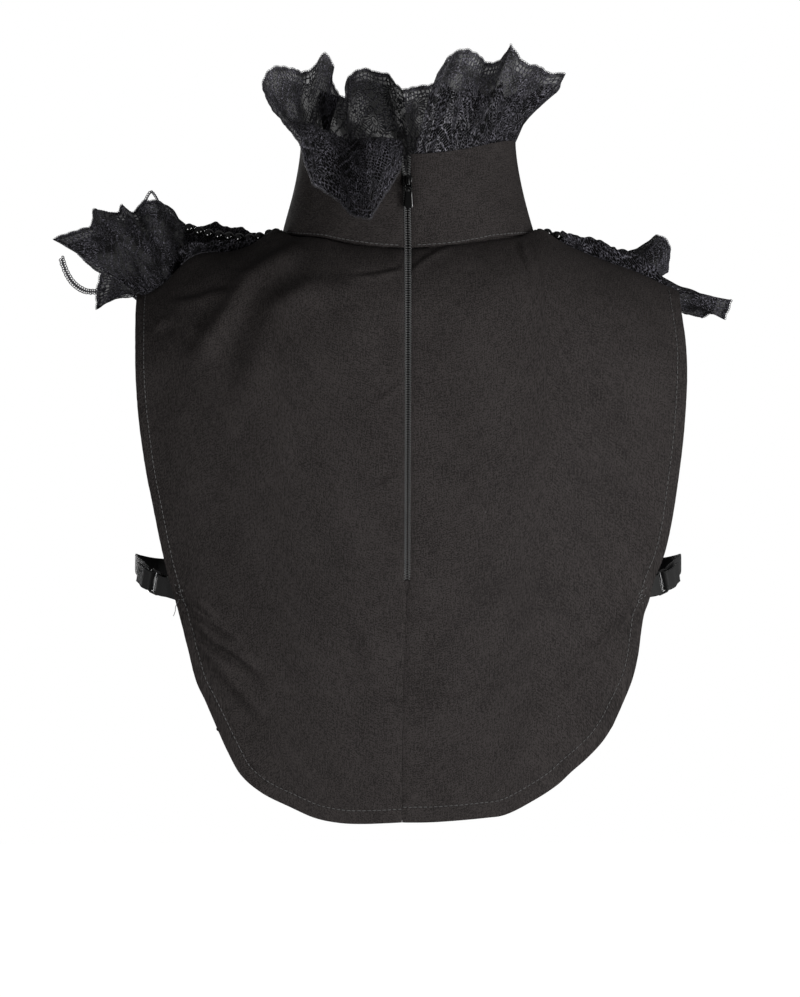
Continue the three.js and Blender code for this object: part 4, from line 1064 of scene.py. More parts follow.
v = np.linspace(0, 1, 44)
right_start, left_start = band_start(v)
u = np.linspace(0, 1, 300)[:, None]
angle = right_start + (2 * math.pi - left_start - right_start) * u
grid = collar_point(angle, np.broadcast_to(v, angle.shape), 0.5)
run = lengths(grid, 0)
band_waves = 0.35 * np.sin(run / 17 + 1.5 * v) * np.sin(run / 7.3) * np.exp(-((v / 0.4) ** 2))
edge_dip = -0.5 * np.exp(-((run / 1.4) ** 2)) - 0.5 * np.exp(-(((run[-1] - run) / 1.4) ** 2))
BAND = grid + outward(grid, NECK_MIDDLE) * (band_waves + edge_dip)[..., None]
place = np.stack([run, lengths(BAND, 1)], -1)
piece = add_mesh("band", shell(BAND, BAND_WALL, place, outward(BAND, NECK_MIDDLE)), COTTON)
sheet_area(BAND) * BAND_EASE
settle(piece, "cotton", "collar_band")
print("band area", round(sheet_area(BAND), 4), "square metres")

# The seam's allowance, pressed up and down on the inside
turn = np.linspace(0.16, 2 * math.pi - 0.16, 200)
seam = neck_seam(turn)
inward = seam * (1, 1, 0) - (0, RIDGE_Y, 0)
inward /= np.linalg.norm(inward, axis=1, keepdims=True)
rows = np.array([(-2.2, 6.5), (-2.0, 3), (-1.9, 0), (-2.6, -3), (-3.6, -5.5)])
grid = seam[:, None] + inward[:, None] * rows[None, :, :1] + rows[None, :, 1:] * (0, 0, 1)
normal = outward(grid, (0, RIDGE_Y, 0))
inner_strip("neck_allowance", grid, 0.4, normal)

# The shoulder seams' allowances, pressed open under the cloth
for side_name, sign in SIDES:
    seam, beside = sign * np.linspace(81, 167.2, 60), RIDGE_Y + np.linspace(-6.5, 6.5, 9)
    grid = surface_below(*np.meshgrid(seam, beside, indexing="ij"))
    normal = outward(grid)
    grid = grid - normal * (WALL + 0.2)
    print(side_name, "shoulder seam", round(float(lengths(grid, 0)[-1, 4])), "mm")
    inner_strip("shoulder_allowance_" + side_name, grid, ALLOWANCE_WALL, normal)

# %% [markdown]
# ## Lace ruffles
# A strip of lace is gathered on one edge and sewn down, and its free edge swings out in folds. Each
# fold is a row of a table: where it is sewn, where its tip is and how much the lace arches on the
# way. A point row is a crisp fold, a round row a soft one. Fine gathers run out of the seam and fade
# towards the edge, which is scalloped. The same routine makes all three strips.

# %% Fold tables
# collar: angle of the seat, edge x, y, z, arch, softness
COLLAR_RUFFLE = np.array([
    (3, -18, 62, 104, 8, 0), (10, -25, 58, 115, 6, 1), (17, -34, 60, 119, 4, 1),
    (24, -42, 50, 117, 4, 1), (30, -48, 38, 113, 4, 0), (36, -56, 48, 114, 4, 1),
    (42, -62, 58, 122, 4, 0), (48, -70, 55, 112, 4, 1), (54, -79, 48, 110, 3, 1),
    (60, -86, 36, 107, 2, 0), (65, -96, 36, 107, 0, 0), (71, -91, 20, 97, 4, 1),
    (78, -88, 4, 104, 4, 0), (86, -80, -14, 96, 8, 1), (94, -86, -32, 107, 4, 0),
    (102, -73, -38, 99, 8, 1), (110, -77, -62, 111, 4, 0), (118, -62, -56, 101, 8, 1),
    (126, -61, -84, 114, 4, 0), (134, -49, -68, 103, 8, 1), (142, -43, -98, 115, 4, 0),
    (150, -32, -76, 106, 8, 1), (158, -23, -100, 116, 4, 0), (165, -13, -84, 112, 6, 1),
    (171, -5, -84, 111, 5, 1), (177, 3, -74, 108, 6, 0), (182, 8, -82, 113, 5, 1),
    (187, 13, -90, 120, 4, 1), (193, 20, -92, 121, 4, 0), (198, 28, -96, 124, 4, 1),
    (204, 35, -92, 121, 4, 1), (210, 40, -84, 114, 5, 1), (216, 40, -64, 102, 8, 0),
    (223, 55, -72, 107, 4, 0), (231, 57, -44, 99, 8, 1), (238, 44, -30, 99, 5, 1),
    (244, 48, -12, 107, 4, 1), (249, 47, -2, 116, 4, 1), (254, 52, 2, 124, 4, 0),
    (259, 59, -4, 115, 4, 1), (264, 66, -8, 112, 4, 0), (269, 73, 8, 113, 3, 1),
    (274, 82, 18, 113, 2, 1), (279, 88, 24, 107, 1, 1), (284, 89, 30, 98, 2, 1),
    (289, 84, 46, 86, 6, 1), (294, 76, 62, 75, 12, 1), (299, 67, 74, 63, 22, 1),
    (304, 63, 73, 51, 32, 1), (309, 58, 74, 37, 38, 0), (314, 50, 71, 32, 38, 1),
    (320, 42, 72, 27, 38, 1), (327, 34, 83, 18, 40, 1), (333, 23, 99, 14, 46, 0),
    (340, 17, 91, 25, 42, 1), (347, 11, 82, 35, 36, 1), (353, 6, 76, 44, 28, 1),
    (357, 4, 71, 51, 22, 0),
], float)
# shoulders: seat x, seat y, edge x, y, z, arch, softness
LEFT_RUFFLE = np.array([
    (88, -11, 88, -50, -4, 16, 0), (97, -11, 100, -60, -12, 30, 1),
    (105, -11, 104, -70, -2, 34, 0), (113, -11, 116, -64, -14, 48, 1),
    (121, -11, 122, -70, 0, 46, 0), (128, -11, 134, -60, -8, 50, 1),
    (134, -10, 138, -56, 4, 42, 0), (139, -6, 146, -38, 25, 14, 1), (143, 2, 155, -22, 32, 6, 1),
    (146, 9, 161, -12, 32.5, 5, 1), (148, 13, 166, -16, 32, 5, 1), (149, 16, 173, -20, 26, 5, 1),
    (151, 18, 179, -12, 30, 5, 0), (153, 19.5, 182, -16, 25, 5, 1),
    (155, 20, 189, -14, 26, 5, 1), (157, 20.5, 196, -8, 27, 4, 0),
    (159, 20.5, 198, -12, 17, 4, 1), (161, 20, 206, -8, 14, 3, 1), (164, 18, 221, -2, 8, 1, 0),
    (166, 14, 210, 4, 2, 1, 1), (167, 10, 203, 6, -3, 1, 1), (167.5, 5, 197, 4, -9, 2, 1),
    (167.5, 0, 191, -2, -13, 3, 0), (167.5, -5, 194, -10, -23, 4, 1),
    (167.5, -9, 195, -18, -34, 4, 0), (167.5, -14, 187, -32, -28, 6, 1),
    (167.5, -19, 175, -44, -25, 8, 0),
], float)
RIGHT_RUFFLE = np.array([
    (-88, -11, -88, -48, -2, 20, 0), (-96, -11, -99, -58, -14, 34, 1),
    (-104, -11, -106, -66, -4, 26, 0), (-112, -11, -116, -60, -20, 38, 1),
    (-120, -11, -124, -66, -6, 28, 0), (-128, -11, -134, -58, -18, 32, 1),
    (-134, -11, -144, -46, 3, 10, 0), (-140, -11, -150, -36, 8, 7, 1),
    (-145, -11, -156, -26, 12, 5, 1), (-149, -11, -163, -24, 8, 4, 1),
    (-152, -11, -165, -30, 0, 4, 1), (-155, -11, -164, -38, -10, 5, 0),
    (-158, -11, -160, -34, -13, 4, 0), (-160.5, -11, -168, -28, -18, 3, 1),
    (-163, -11, -177, -22, -22, 3, 1), (-165, -11, -188, -18, -26, 3, 1),
    (-166.5, -12, -202, -14, -29, 2, 0), (-167.5, -14, -198, -20, -41, 3, 0),
    (-167.5, -16.5, -191, -26, -37, 4, 1), (-167.5, -18.5, -185, -32, -39, 4, 0),
    (-167.5, -20.5, -174, -40, -36, 6, 1), (-167, -22, -171, -48, -29, 8, 0),
], float)


# %% Ruffle surface
def ruffle_points(table, seat_at, u, v):
    """Points of a ruffle, u along the folds' table and v from the seam to the free edge."""
    place = u * (len(table) - 1)
    i = np.clip(place.astype(int), 0, len(table) - 2)
    t = (place - i)[:, None]
    edges = table[:, -5:-2]
    after = np.roll(edges, -1, 0) - edges
    soft = (edges[2:] - edges[:-2]) / 2
    middle = np.concatenate([[False], table[1:-1, -1] > 0, [False]])[:, None]
    smooth = np.concatenate([after[:1], soft, after[:1]])
    leaving = np.where(middle, smooth, after)
    arriving = np.where(middle, smooth, np.roll(after, 1, 0))
    edge = edges[i] * ((1 + 2 * t) * (1 - t) ** 2) + leaving[i] * (t * (1 - t) ** 2)
    edge = edge + edges[i + 1] * (t * t * (3 - 2 * t)) + arriving[i + 1] * (t * t * (t - 1))
    even_columns = table[i] * (1 - t) + table[i + 1] * t
    seat = seat_at(even_columns)
    bend = seat + (edge - seat) * 0.45
    bend[:, 2] += even_columns[:, -2]
    v = v[None, :, None]
    first = seat[:, None] + (bend - seat)[:, None] * v
    return first + (bend[:, None] + (edge - bend)[:, None] * v - first) * v


def collar_seat(rows):
    angle = np.radians(rows[:, 0])
    seat = collar_top(angle)
    out = seat * (1, 1, 0) - (0, RIDGE_Y, 0)
    seat -= out / np.linalg.norm(out, axis=1, keepdims=True) * 1.3
    return seat - (0, 0, 1.2)


def shoulder_seat(rows):
    return surface_below(rows[:, 0], rows[:, 1]) + (0, 0, 2.0)


# %% Ruffles
LACE_WALL = 0.45
GATHER_HEIGHT, GATHER_PITCH, SCALLOP = 1.2, 9.5, 8.0
RUFFLES, LACES = {}, {}


def gathered(table, seat_at, columns, rows, seed):
    """A ruffle's grid, with fine gathers that run out of the seam and a scalloped edge."""
    fine = np.linspace(0, 1, columns * 3)
    edge = ruffle_points(table, seat_at, fine, np.array([0.0, 1.0]))
    run = lengths(edge[:, 1], 0) + 0.8 * lengths(edge[:, 0], 0)
    u = np.interp(np.linspace(0, run[-1], columns), run, fine)
    v = np.linspace(0, 1, rows)
    grid = ruffle_points(table, seat_at, u, v)
    run = lengths(grid[:, -1], 0)[:, None]
    wander = np.cumsum(np.random.default_rng(seed).normal(0, 0.12, columns))[:, None]
    fullness = 0.3 + 0.7 * np.abs(np.sin(run / 31 + seed))
    phase = run * 2 * math.pi / GATHER_PITCH + wander + 0.5 * np.sin(6 * v + run / 40)
    near_seam = np.sin(math.pi * np.minimum(v * 2.2, 1)) * np.exp(-v * 2.6)
    ripple = 0.35 * np.sin(run / 3.1 + 5 * v) * np.sin(run / 11 + 2) * rise(v * 2 - 0.6)
    height = GATHER_HEIGHT * fullness * np.sin(phase) * near_seam + ripple
    reach = 0.8 * (np.abs(np.sin(run * math.pi / SCALLOP)) - 0.5) * rise((v - 0.75) / 0.25)
    down = np.gradient(grid, axis=1)
    down /= np.maximum(np.linalg.norm(down, axis=-1, keepdims=True), 1e-6)
    return grid + grid_normals(grid) * height[..., None] + down * reach[..., None]


for name, table, seat_at, columns, rows in (
    ("collar", COLLAR_RUFFLE, collar_seat, 900, 46),
    ("shoulder_left", LEFT_RUFFLE, shoulder_seat, 420, 56),
    ("shoulder_right", RIGHT_RUFFLE, shoulder_seat, 360, 56),
):
    grid = gathered(table, seat_at, columns, rows, len(name))
    along_edge = np.broadcast_to(lengths(grid[:, -1], 0)[:, None], grid.shape[:2])
    from_edge = lengths(grid[:, ::-1], 1)[:, ::-1]
    place = np.stack([along_edge, from_edge], -1)
    RUFFLES[name] = (grid, place)
    finish = LACE if name == "collar" else DENSE_LACE
    piece = add_mesh("lace_" + name, shell(grid, LACE_WALL, place, grid_normals(grid)), finish, 60)
    node = name + "_ruffle" if name == "collar" else "shoulder_ruffle_" + name.split("_")[1]
    print(name, "edge", round(along_edge[-1, 0]), "widest", round(from_edge.max()),
          "area", round(sheet_area(grid), 4), "faces", len(piece.data.polygons))
    LACES[name] = (piece, sheet_area(grid) * GATHERED_CUT)
    settle(piece, "lace", node)


# %% Shoulder headings
# A narrow strip of the same lace stands along each shoulder seam, where the ruffle is sewn on. A row
# is a place on the seam and how high the strip stands there, then come how much of it lies on the
# cloth, how jagged its top is and where it stands. On the right it hides the lower half of the beads.
HEADINGS = {
    "left": ([(88, -3.2, 1.5), (99, -3.1, 3.5), (111, -3.0, 7.5), (124, -2.7, 12), (137, 0, 15),
              (145, 8, 12), (151, 17, 5)], 2, 0.5, -2.9),
    "right": ([(-92, -2, 7), (-104, 0, 7), (-112, 1.5, 9.5), (-124, 6, 10), (-138, 11, 10.5),
               (-150, 12, 9.5), (-160, 8, 7)], 9, 0.6, -1.7),
}
for side_name, (line, lying, jagged, stand) in HEADINGS.items():
    plan = along(line, np.linspace(0, 1, 220))
    run = lengths(surface_below(plan[:, 0], plan[:, 1]), 0)
    ends = rise(run / 9) * rise((run[-1] - run) / 9)
    steps = np.linspace(0, 1, 14)[None]
    back = plan[:, 1:2] * (1 - rise(steps * 2.2)) + stand * rise(steps * 2.2)
    x = np.broadcast_to(plan[:, :1], back.shape)
    foot = surface_below(x, back) + (0, 0, 0.8)
    tips = plan[:, 2] + jagged * (np.sin(run / 3.7) + np.sin(run / 1.9 + 2) + np.sin(run / 8.3))
    up = np.maximum(steps * 1.6 - 0.6, 0) * (tips * ends)[:, None] - 1.6 * (1 - steps)
    sway = np.sin(run / 2.3) * 0.5 + np.sin(run / 5.1)
    out = (0.5 * sway[:, None] - 0.5) * steps
    grid = foot + np.stack([0 * up, out, up], -1)
    place = np.stack([np.broadcast_to(run[:, None], up.shape), lying + lengths(grid, 1)], -1)
    made = shell(grid, 0.4, place, grid_normals(grid))
    piece = add_mesh("lace_heading_" + side_name, made, DOUBLED_LACE, 60)
    settle(piece, "lace")

# %% [markdown]
# ### Raised threads of the lace
# The edge of the lace is a firm cord with tiny loops outside it, and each flower and leaf is
# outlined by a thicker thread that stands up from the net. They are drawn on the flat strip, where
# the pattern repeats, and carried to the ruffle by its flat places. The thread tree sweeps them, and
# the ring tree sets the loops.


# %% From the flat strip to the ruffle
def on_lace(name, u, w, lift):
    """Points on a ruffle, u along its strip and w in from its free edge."""
    grid, place = RUFFLES[name]
    run = place[:, -1, 0]
    column = np.interp(u, run, np.arange(len(run)))
    first = np.clip(column.astype(int), 0, len(run) - 2)
    share = (column - first)[:, None]
    rows = np.arange(grid.shape[1])
    face = grid + grid_normals(grid) * lift

    def in_column(k, height):
        row = np.interp(height, place[k, ::-1, 1], rows[::-1])
        j = min(int(row), len(rows) - 2)
        return face[k, j] + (face[k, j + 1] - face[k, j]) * (row - j)

    low = np.array([in_column(k, height) for k, height in zip(first, w)])
    high = np.array([in_column(k + 1, height) for k, height in zip(first, w)])
    return low + (high - low) * share


def flower_paths(name):
    """Flower, eye and leaf outlines over one strip, as lists of points."""
    grid, place = RUFFLES[name]
    turn = np.linspace(0, 2 * math.pi, 41)
    petals = np.stack([np.cos(turn), np.sin(turn)], -1) * (PETAL * petal_reach(turn))[:, None]
    eye = np.stack([np.cos(turn[::3]), np.sin(turn[::3])], -1) * 3.1
    leaf = np.stack([7.5 * np.cos(turn[::2]), 2.2 * np.sin(turn[::2]) * np.sin(turn[::2] / 2)], -1)
    lean = np.array([(0.8, 0.6), (-0.6, 0.8)])
    tile_u, tile_w = FLOWER_TILE
    shapes = [(petals, 0.5, 0.5), (eye, 0.5, 0.5), (leaf @ lean, 0.02, 0.5)]
    paths = []
    for row in range(4):
        for number in range(-1, int(place[-1, -1, 0] / tile_u) + 2):
            for shape, at_u, at_w in shapes:
                u = shape[:, 0] + (number + at_u - row * 0.5) * tile_u
                w = shape[:, 1] + (row + at_w) * tile_w
                widest = np.interp(u, place[:, -1, 0], place[:, 0, 1])
                inside = (u > 1) & (u < place[-1, -1, 0] - 1) & (w > 2) & (w < widest - 2)
                if inside.all():
                    paths.append(on_lace(name, u, w, -LACE_WALL / 2))
    return paths


# %% Trim the ruffles
trims = {}
for name, (grid, place) in RUFFLES.items():
    normal = grid_normals(grid)
    edge = grid[:, -1] - normal[:, -1] * LACE_WALL / 2
    down = grid[:, -1] - grid[:, -2]
    down /= np.linalg.norm(down, axis=1, keepdims=True)
    trims[name] = [
        grow("edge_" + name, THREADS, [edge], Thread=0.0004, Sides=5, Material=CORD),
        grow("loops_" + name, RINGS, [edge + down * 0.5], [normal[:, -1]], Spacing=0.0017,
             Size=(0.0015, 0.0012, 0.0015), Thread=0.13, Material=CORD),
        grow("flowers_" + name, THREADS, flower_paths(name), Thread=0.00032, Sides=4,
             Material=CORD),
    ]

# The edge of one fold has come loose under the left shoulder's point, and stands as a bare loop on
# its highest fold
loose = along([(216.4, -8, -3.5), (213.6, -9, -12), (209, -10, -19), (202, -10, -23.5),
               (195, -10, -24), (190, -10, -23)], np.linspace(0, 1, 50))
bare = along([(164.6, -15, 31), (163.4, -14, 34.6), (160.6, -13, 38.4), (158, -15, 36),
              (155.6, -20, 31)], np.linspace(0, 1, 40))
strand = grow("edge_loose", THREADS, [loose, bare], Thread=0.0005, Sides=6, Material=CORD)
frayed = 0.5 * np.sin(np.arange(50) * 1.9)[:, None] * (0.7, 0, 0.7)
rows_of_loops = [loose + (0.8 * side, 0, -0.8 * side) + frayed * side for side in (-1, 1)]
hoops = grow("loops_loose", RINGS, rows_of_loops + [bare + (0.5, 0, 0.3)], Spacing=0.0015,
             Size=(0.0017, 0.0014, 0.0017), Thread=0.19, Material=CORD)

# Where the left lace meets the cloth, its firm edge lies along the top of the swell
grid = BACKS["left"][0]
high = grid[np.arange(len(grid)), grid[:, :60, 2].argmax(1)]
high = high[(high[:, 0] > 117) & (high[:, 0] < 142)] + (0, 0.25, 0.3)
firm = grow("edge_shoulder", THREADS, [high], Thread=0.00045, Sides=6, Material=CORD)
trims["shoulder_left"] += [strand, hoops, firm]
for name, pieces in trims.items():
    for piece in pieces:
        settle(piece, "lace")

# %% [markdown]
# ## Beads
# Nine glossy beads sit close together on each shoulder, on a black thread. Each bead is a turned
# shape, a circle drawn round its bore, so it is smooth and its hole is open. Their places are read
# from the measured model.


# %% Beads
def turned(profile, centre, way, sides=26):
    """A closed ring-shaped solid: profile is (radius, height) round the way, and closes on itself."""
    way = way / np.linalg.norm(way)
    across = np.cross(way, (0.0, 1.0, 0.31))
    across /= np.linalg.norm(across)
    other = np.cross(way, across)
    turn = np.linspace(0, 2 * math.pi, sides, endpoint=False)
    spokes = np.cos(turn)[:, None] * across + np.sin(turn)[:, None] * other
    points = centre + spokes[:, None] * profile[None, :, :1] + way * profile[None, :, 1:]
    index = np.arange(sides * len(profile)).reshape(sides, -1)
    around, up = np.roll(index, -1, 0), np.roll(index, -1, 1)
    faces = np.stack([index, around, np.roll(around, -1, 1), up], -1).reshape(-1, 4)
    return points.reshape(-1, 3), faces, points.reshape(-1, 3)


BEAD_RADIUS, BORE = 3.2, 0.6
bead_turn = np.linspace(math.asin(BORE / BEAD_RADIUS), math.pi - math.asin(BORE / BEAD_RADIUS), 16)
bead_profile = np.stack([np.sin(bead_turn), -np.cos(bead_turn)], -1) * BEAD_RADIUS
for side_name in ("left", "right"):
    nodes = [f"bead_{side_name}_{k:02d}" for k in range(1, 10)]
    boxes = np.array([[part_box(node)[0][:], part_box(node)[1][:]] for node in nodes]) / MM
    centres = boxes.mean(1)
    ways = np.gradient(centres, axis=0)
    made = joined(*(turned(bead_profile, c, w) for c, w in zip(centres, ways)))
    settle(add_mesh("beads_" + side_name, made, BEAD, 70), "bead", *nodes)
    ends = centres[0] - ways[0] * 0.62, centres[-1] + ways[-1] * 0.6
    path = along(np.concatenate([[ends[0]], centres, [ends[1]]]), np.linspace(0, 1, 60))
    thread = grow("bead_thread_" + side_name, THREADS, [path], Thread=0.0003, Sides=6, Material=THREAD)
    settle(thread, "thread", "bead_thread_" + side_name)
    print(side_name, "beads from", np.round(centres[0]), "to", np.round(centres[-1]))

# %% [markdown]
# ## Zip
# Two nylon coils lie side by side between the cloth edges, each sewn to a tape under the cloth. A
# coil really is one wound thread, so it is a helix swept by the thread tree. Slider and pull are
# pressed metal with rounded edges: the slider is stacked outlines, and the pull a plate whose rounded
# section runs round its window.


# %% Line of the zip
def back_face(x, z):
    """The outer face of the cloth near the centre back, and the way out of it."""

    def depth(height):
        angle = np.arcsin(-x / COLLAR_TOP_HALF_WIDTH)
        seam = neck_seam(angle)[..., 2]
        body = body_point(BACK, x, level_at_height(BACK, x, height))[..., 1]
        low = seam + BAND_LIFT
        share = np.clip((height - low) / (collar_top(angle)[..., 2] - low), 0, 1)
        return np.where(height < seam, body, collar_point(angle, share)[..., 1])

    slope = (depth(z + 3) - depth(z - 3)) / 6
    out = np.stack([np.zeros_like(z), np.ones_like(z), -slope], -1)
    return np.stack([x, depth(z), z], -1), out / np.linalg.norm(out, axis=-1, keepdims=True)


ZIP_TOP_Z = float(collar_top(np.array([0.0]))[0, 2]) - 1
SLIDER_Z = 39


def coil_inset(z):
    return 0.15 + rise((z - SLIDER_Z) / (ZIP_TOP_Z - SLIDER_Z)) * 1.2


# %% Zip halves
COIL_RADIUS, COIL_WIRE, COIL_PITCH = 0.75, 0.28, 1.5
COIL_DEPTH, TAPE_WIDTH = 0.95, 11
for side_name, sign in SIDES:
    z = np.linspace(ZIP_BOTTOM_Z + 3, ZIP_TOP_Z, 2700)
    x = centre_x(z) + sign * (coil_inset(z) + COIL_RADIUS + COIL_WIRE)
    middle, out = back_face(x, z)
    turn = (z - z[0]) * 2 * math.pi / COIL_PITCH
    sideways = np.array((sign, 0, 0)) * np.cos(turn)[:, None]
    helix = middle - out * COIL_DEPTH + (sideways + out * np.sin(turn)[:, None]) * COIL_RADIUS
    coil = grow("coil_" + side_name, THREADS, [helix], Thread=COIL_WIRE * MM, Sides=5, Material=COIL)
    settle(coil, "zip", "zip_half_" + side_name)
    down_zip = np.linspace(ZIP_BOTTOM_Z + 3, ZIP_TOP_Z, 150)
    u, z = np.meshgrid(np.linspace(0, TAPE_WIDTH, 8), down_zip, indexing="ij")
    tape, out = back_face(centre_x(z) + sign * (coil_inset(z) + 0.2 + u), z)
    under = np.where(z > -6, BAND_WALL, WALL) + COIL_DEPTH + 3 * (1 - rise(np.abs(z + 1) / 12))
    tape = tape - out * under[..., None]
    made = shell(tape, 0.5, np.stack([u, z], -1), out)
    settle(add_mesh("tape_" + side_name, made, TAPE), "zip", "zip_half_" + side_name)


# %% Hard parts
def solid(name, vertices, faces, material):
    """A closed solid from points in millimetres and faces of any size."""
    mesh = bpy.data.meshes.new(name)
    mesh.from_pydata((np.asarray(vertices) * MM).tolist(), [], [list(map(int, f)) for f in faces])
    work = bmesh.new()
    work.from_mesh(mesh)
    bmesh.ops.recalc_face_normals(work, faces=work.faces)
    work.to_mesh(mesh)
    work.free()
    print(name, len(mesh.polygons), "faces")
    return smooth_piece(name, mesh, material, 50)


def rings_solid(rings):
    """Vertices and faces of stacked rings of equal size, closed by a face at each end."""
    count, size = len(rings), len(rings[0])
    index = np.arange(count * size).reshape(count, size)
    turned_on = np.roll(index, -1, 1)
    faces = np.stack([index[:-1], turned_on[:-1], turned_on[1:], index[1:]], -1).reshape(-1, 4).tolist()
    return np.concatenate(rings), faces + [index[0].tolist(), index[-1].tolist()]


def tube_round(rings):
    """Vertices and faces of a closed tube: the last ring goes on into the first."""
    vertices = np.concatenate(rings)
    index = np.arange(len(vertices)).reshape(len(rings), -1)
    on, following = np.roll(index, -1, 1), np.roll(index, -1, 0)
    faces = np.stack([index, on, np.roll(on, -1, 0), following], -1).reshape(-1, 4)
    return vertices, faces.tolist()


def together(first, second):
    """Two sets of vertices and faces as one."""
    vertices = np.concatenate([first[0], second[0]])
    return vertices, first[1] + [[k + len(first[0]) for k in face] for face in second[1]]


def square_to(outline):
    """The way square to a closed flat outline, to the right as its points go round."""
    ahead = np.roll(outline, -1, 0) - np.roll(outline, 1, 0)
    return np.stack([ahead[:, 1], -ahead[:, 0]], -1) / np.linalg.norm(ahead, axis=1, keepdims=True)


def swept(path, across, section):
    """A bar along a path. section is a ring of (sideways, outward) steps, across the sideways way."""
    path = np.asarray(path, float)
    ahead = np.gradient(path, axis=0)
    up = np.cross(ahead, across)
    up /= np.linalg.norm(up, axis=1, keepdims=True)
    side = np.broadcast_to(across, path.shape)
    return rings_solid([p + section[:, :1] * s + section[:, 1:] * n for p, s, n in zip(path, side, up)])


def ellipse(width, height, count=12, power=0.75):
    turn = np.linspace(0, 2 * math.pi, count, endpoint=False)
    rounded = np.stack([np.cos(turn), np.sin(turn)], -1)
    return np.sign(rounded) * np.abs(rounded) ** power * (width / 2, height / 2)


# %% Slider and pull
ZIP_PLACE, ZIP_TILT = np.array((0, 54.585, 38.977)), math.radians(8.65)
lean = np.array([
    (1, 0, 0),
    (0, math.cos(ZIP_TILT), -math.sin(ZIP_TILT)),
    (0, math.sin(ZIP_TILT), math.cos(ZIP_TILT)),
])


def on_zip(points):
    """From the slider's own frame, y out of the cloth and z up the zip, to the object's."""
    return np.asarray(points) @ lean.T + ZIP_PLACE


half_plan = along(
    [(0, -4.5), (1.3, -4.4), (1.9, -3.4), (2.2, 0), (2.5, 2.2), (2.2, 4.0), (1.0, 4.5), (0, 4.5)],
    np.linspace(0, 1, 22),
)
plan = np.concatenate([half_plan, half_plan[-2:0:-1] * (-1, 1)])
layers = [(0.92, 0.02), (1.0, 0.25), (1.0, 1.5), (0.94, 1.85), (0.8, 2.0), (0.4, 2.02)]
rings = [
    on_zip(np.stack([plan[:, 0] * s, np.full(len(plan), y), plan[:, 1] * (0.4 + 0.6 * s)], -1))
    for s, y in layers
]
body = rings_solid(rings)
arch_line = along(
    [(0, 1.6, -2.65), (0, 3.3, -2.65), (0, 4.35, -2.05), (0, 4.65, 0), (0, 4.35, 2.05),
     (0, 3.3, 2.65), (0, 1.6, 2.65)],
    np.linspace(0, 1, 25),
)
arch = swept(on_zip(arch_line), np.array((1.0, 0, 0)), ellipse(1.6, 0.8))
settle(solid("slider", *together(body, arch), ENAMEL), "black_metal", "zip_slider")

# The pull hangs from the arch: a long drop with a window at its top
pivot = np.array((0, 3.1, -1.275))
outer = along(
    [(0, 0.55), (1.6, 0.5), (2.3, -0.6), (2.4, -3.5), (2.55, -9), (2.8, -12.6), (2.4, -14.8),
     (0, -15.45)],
    np.linspace(0, 1, 30),
)
inner = along(
    [(0, -0.6), (1.2, -0.65), (1.45, -1.1), (1.45, -3.9), (1.2, -4.6), (0.5, -4.85), (0, -4.85)],
    np.linspace(0, 1, 30),
)
outer, inner = (np.concatenate([line, line[-2:0:-1] * (-1, 1)]) for line in (outer, inner))
width = np.linalg.norm(outer - inner, axis=1, keepdims=True)
inward = (inner - outer) / width
bevel = np.minimum(1.25, 0.5 * width)
outside = [(outer + square_to(outer) * bevel * share, height) for share, height in
           ((0, 0), (0.02, 0.16), (0.06, 0.3), (0.09, 0.37), (0.13, 0.4), (0.41, 0.565),
            (0.57, 0.627), (1, 0.65))]
inside = [(inner - inward * bevel * share, height) for share, height in
          ((0.45, 0.65), (0.12, 0.5), (0, 0.25))]
section = outside + inside + [(line, -height) for line, height in inside[::-1] + outside[:0:-1]]
rings = []
for flat_place, height in section:
    domed = 1.08 - 0.2 * rise((-flat_place[:, 1:] - 12.5) / 2.9)
    thickness = height * domed
    rings.append(on_zip(np.concatenate([flat_place[:, :1], thickness, flat_place[:, 1:]], 1) + pivot))
settle(solid("pull", *tube_round(rings), ENAMEL), "black_metal", "zip_pull", body="zip_pull")

# %% [markdown]
# ## Side straps
# Under each arm an elastic strap from the front runs through a slide buckle and back over itself,
# and a short tab holds the buckle to the back. The strap's route is a smooth line under the arm. A
# strap is a sheet that goes out along the inside, round a rail of the buckle, and back.

# %% Strap route
STRAP_ROUTE = np.array([
    (156, 33, -204.5), (166, 16, -198), (172, -8, -194), (171, -32, -195), (163, -51, -197),
])
STRAP_WIDTH, STRAP_WALL = 12, 1.0
BUCKLE_ACROSS, BUCKLE_ALONG, BUCKLE_THICK, RAIL, BUCKLE_AT = 15, 11, 1.4, 1.5, 0.19
STRAP_REACH = BUCKLE_THICK / 2 + 0.75
UNDER_PANEL = 2.16  # the panel's wall and a gap above the strap


def under_panel(side, x, z, depth):
    def face(a, b):
        return float(full_depth(side, np.array(a), np.array(b)))

    slope_x = face(x + 0.5, z) - face(x - 0.5, z)
    slope_z = face(x, z + 0.5) - face(x, z - 0.5)
    out = np.array((-slope_x, 1, -slope_z)) * side.sign
    return np.array((x, face(x, z), z)) - out / np.linalg.norm(out) * depth


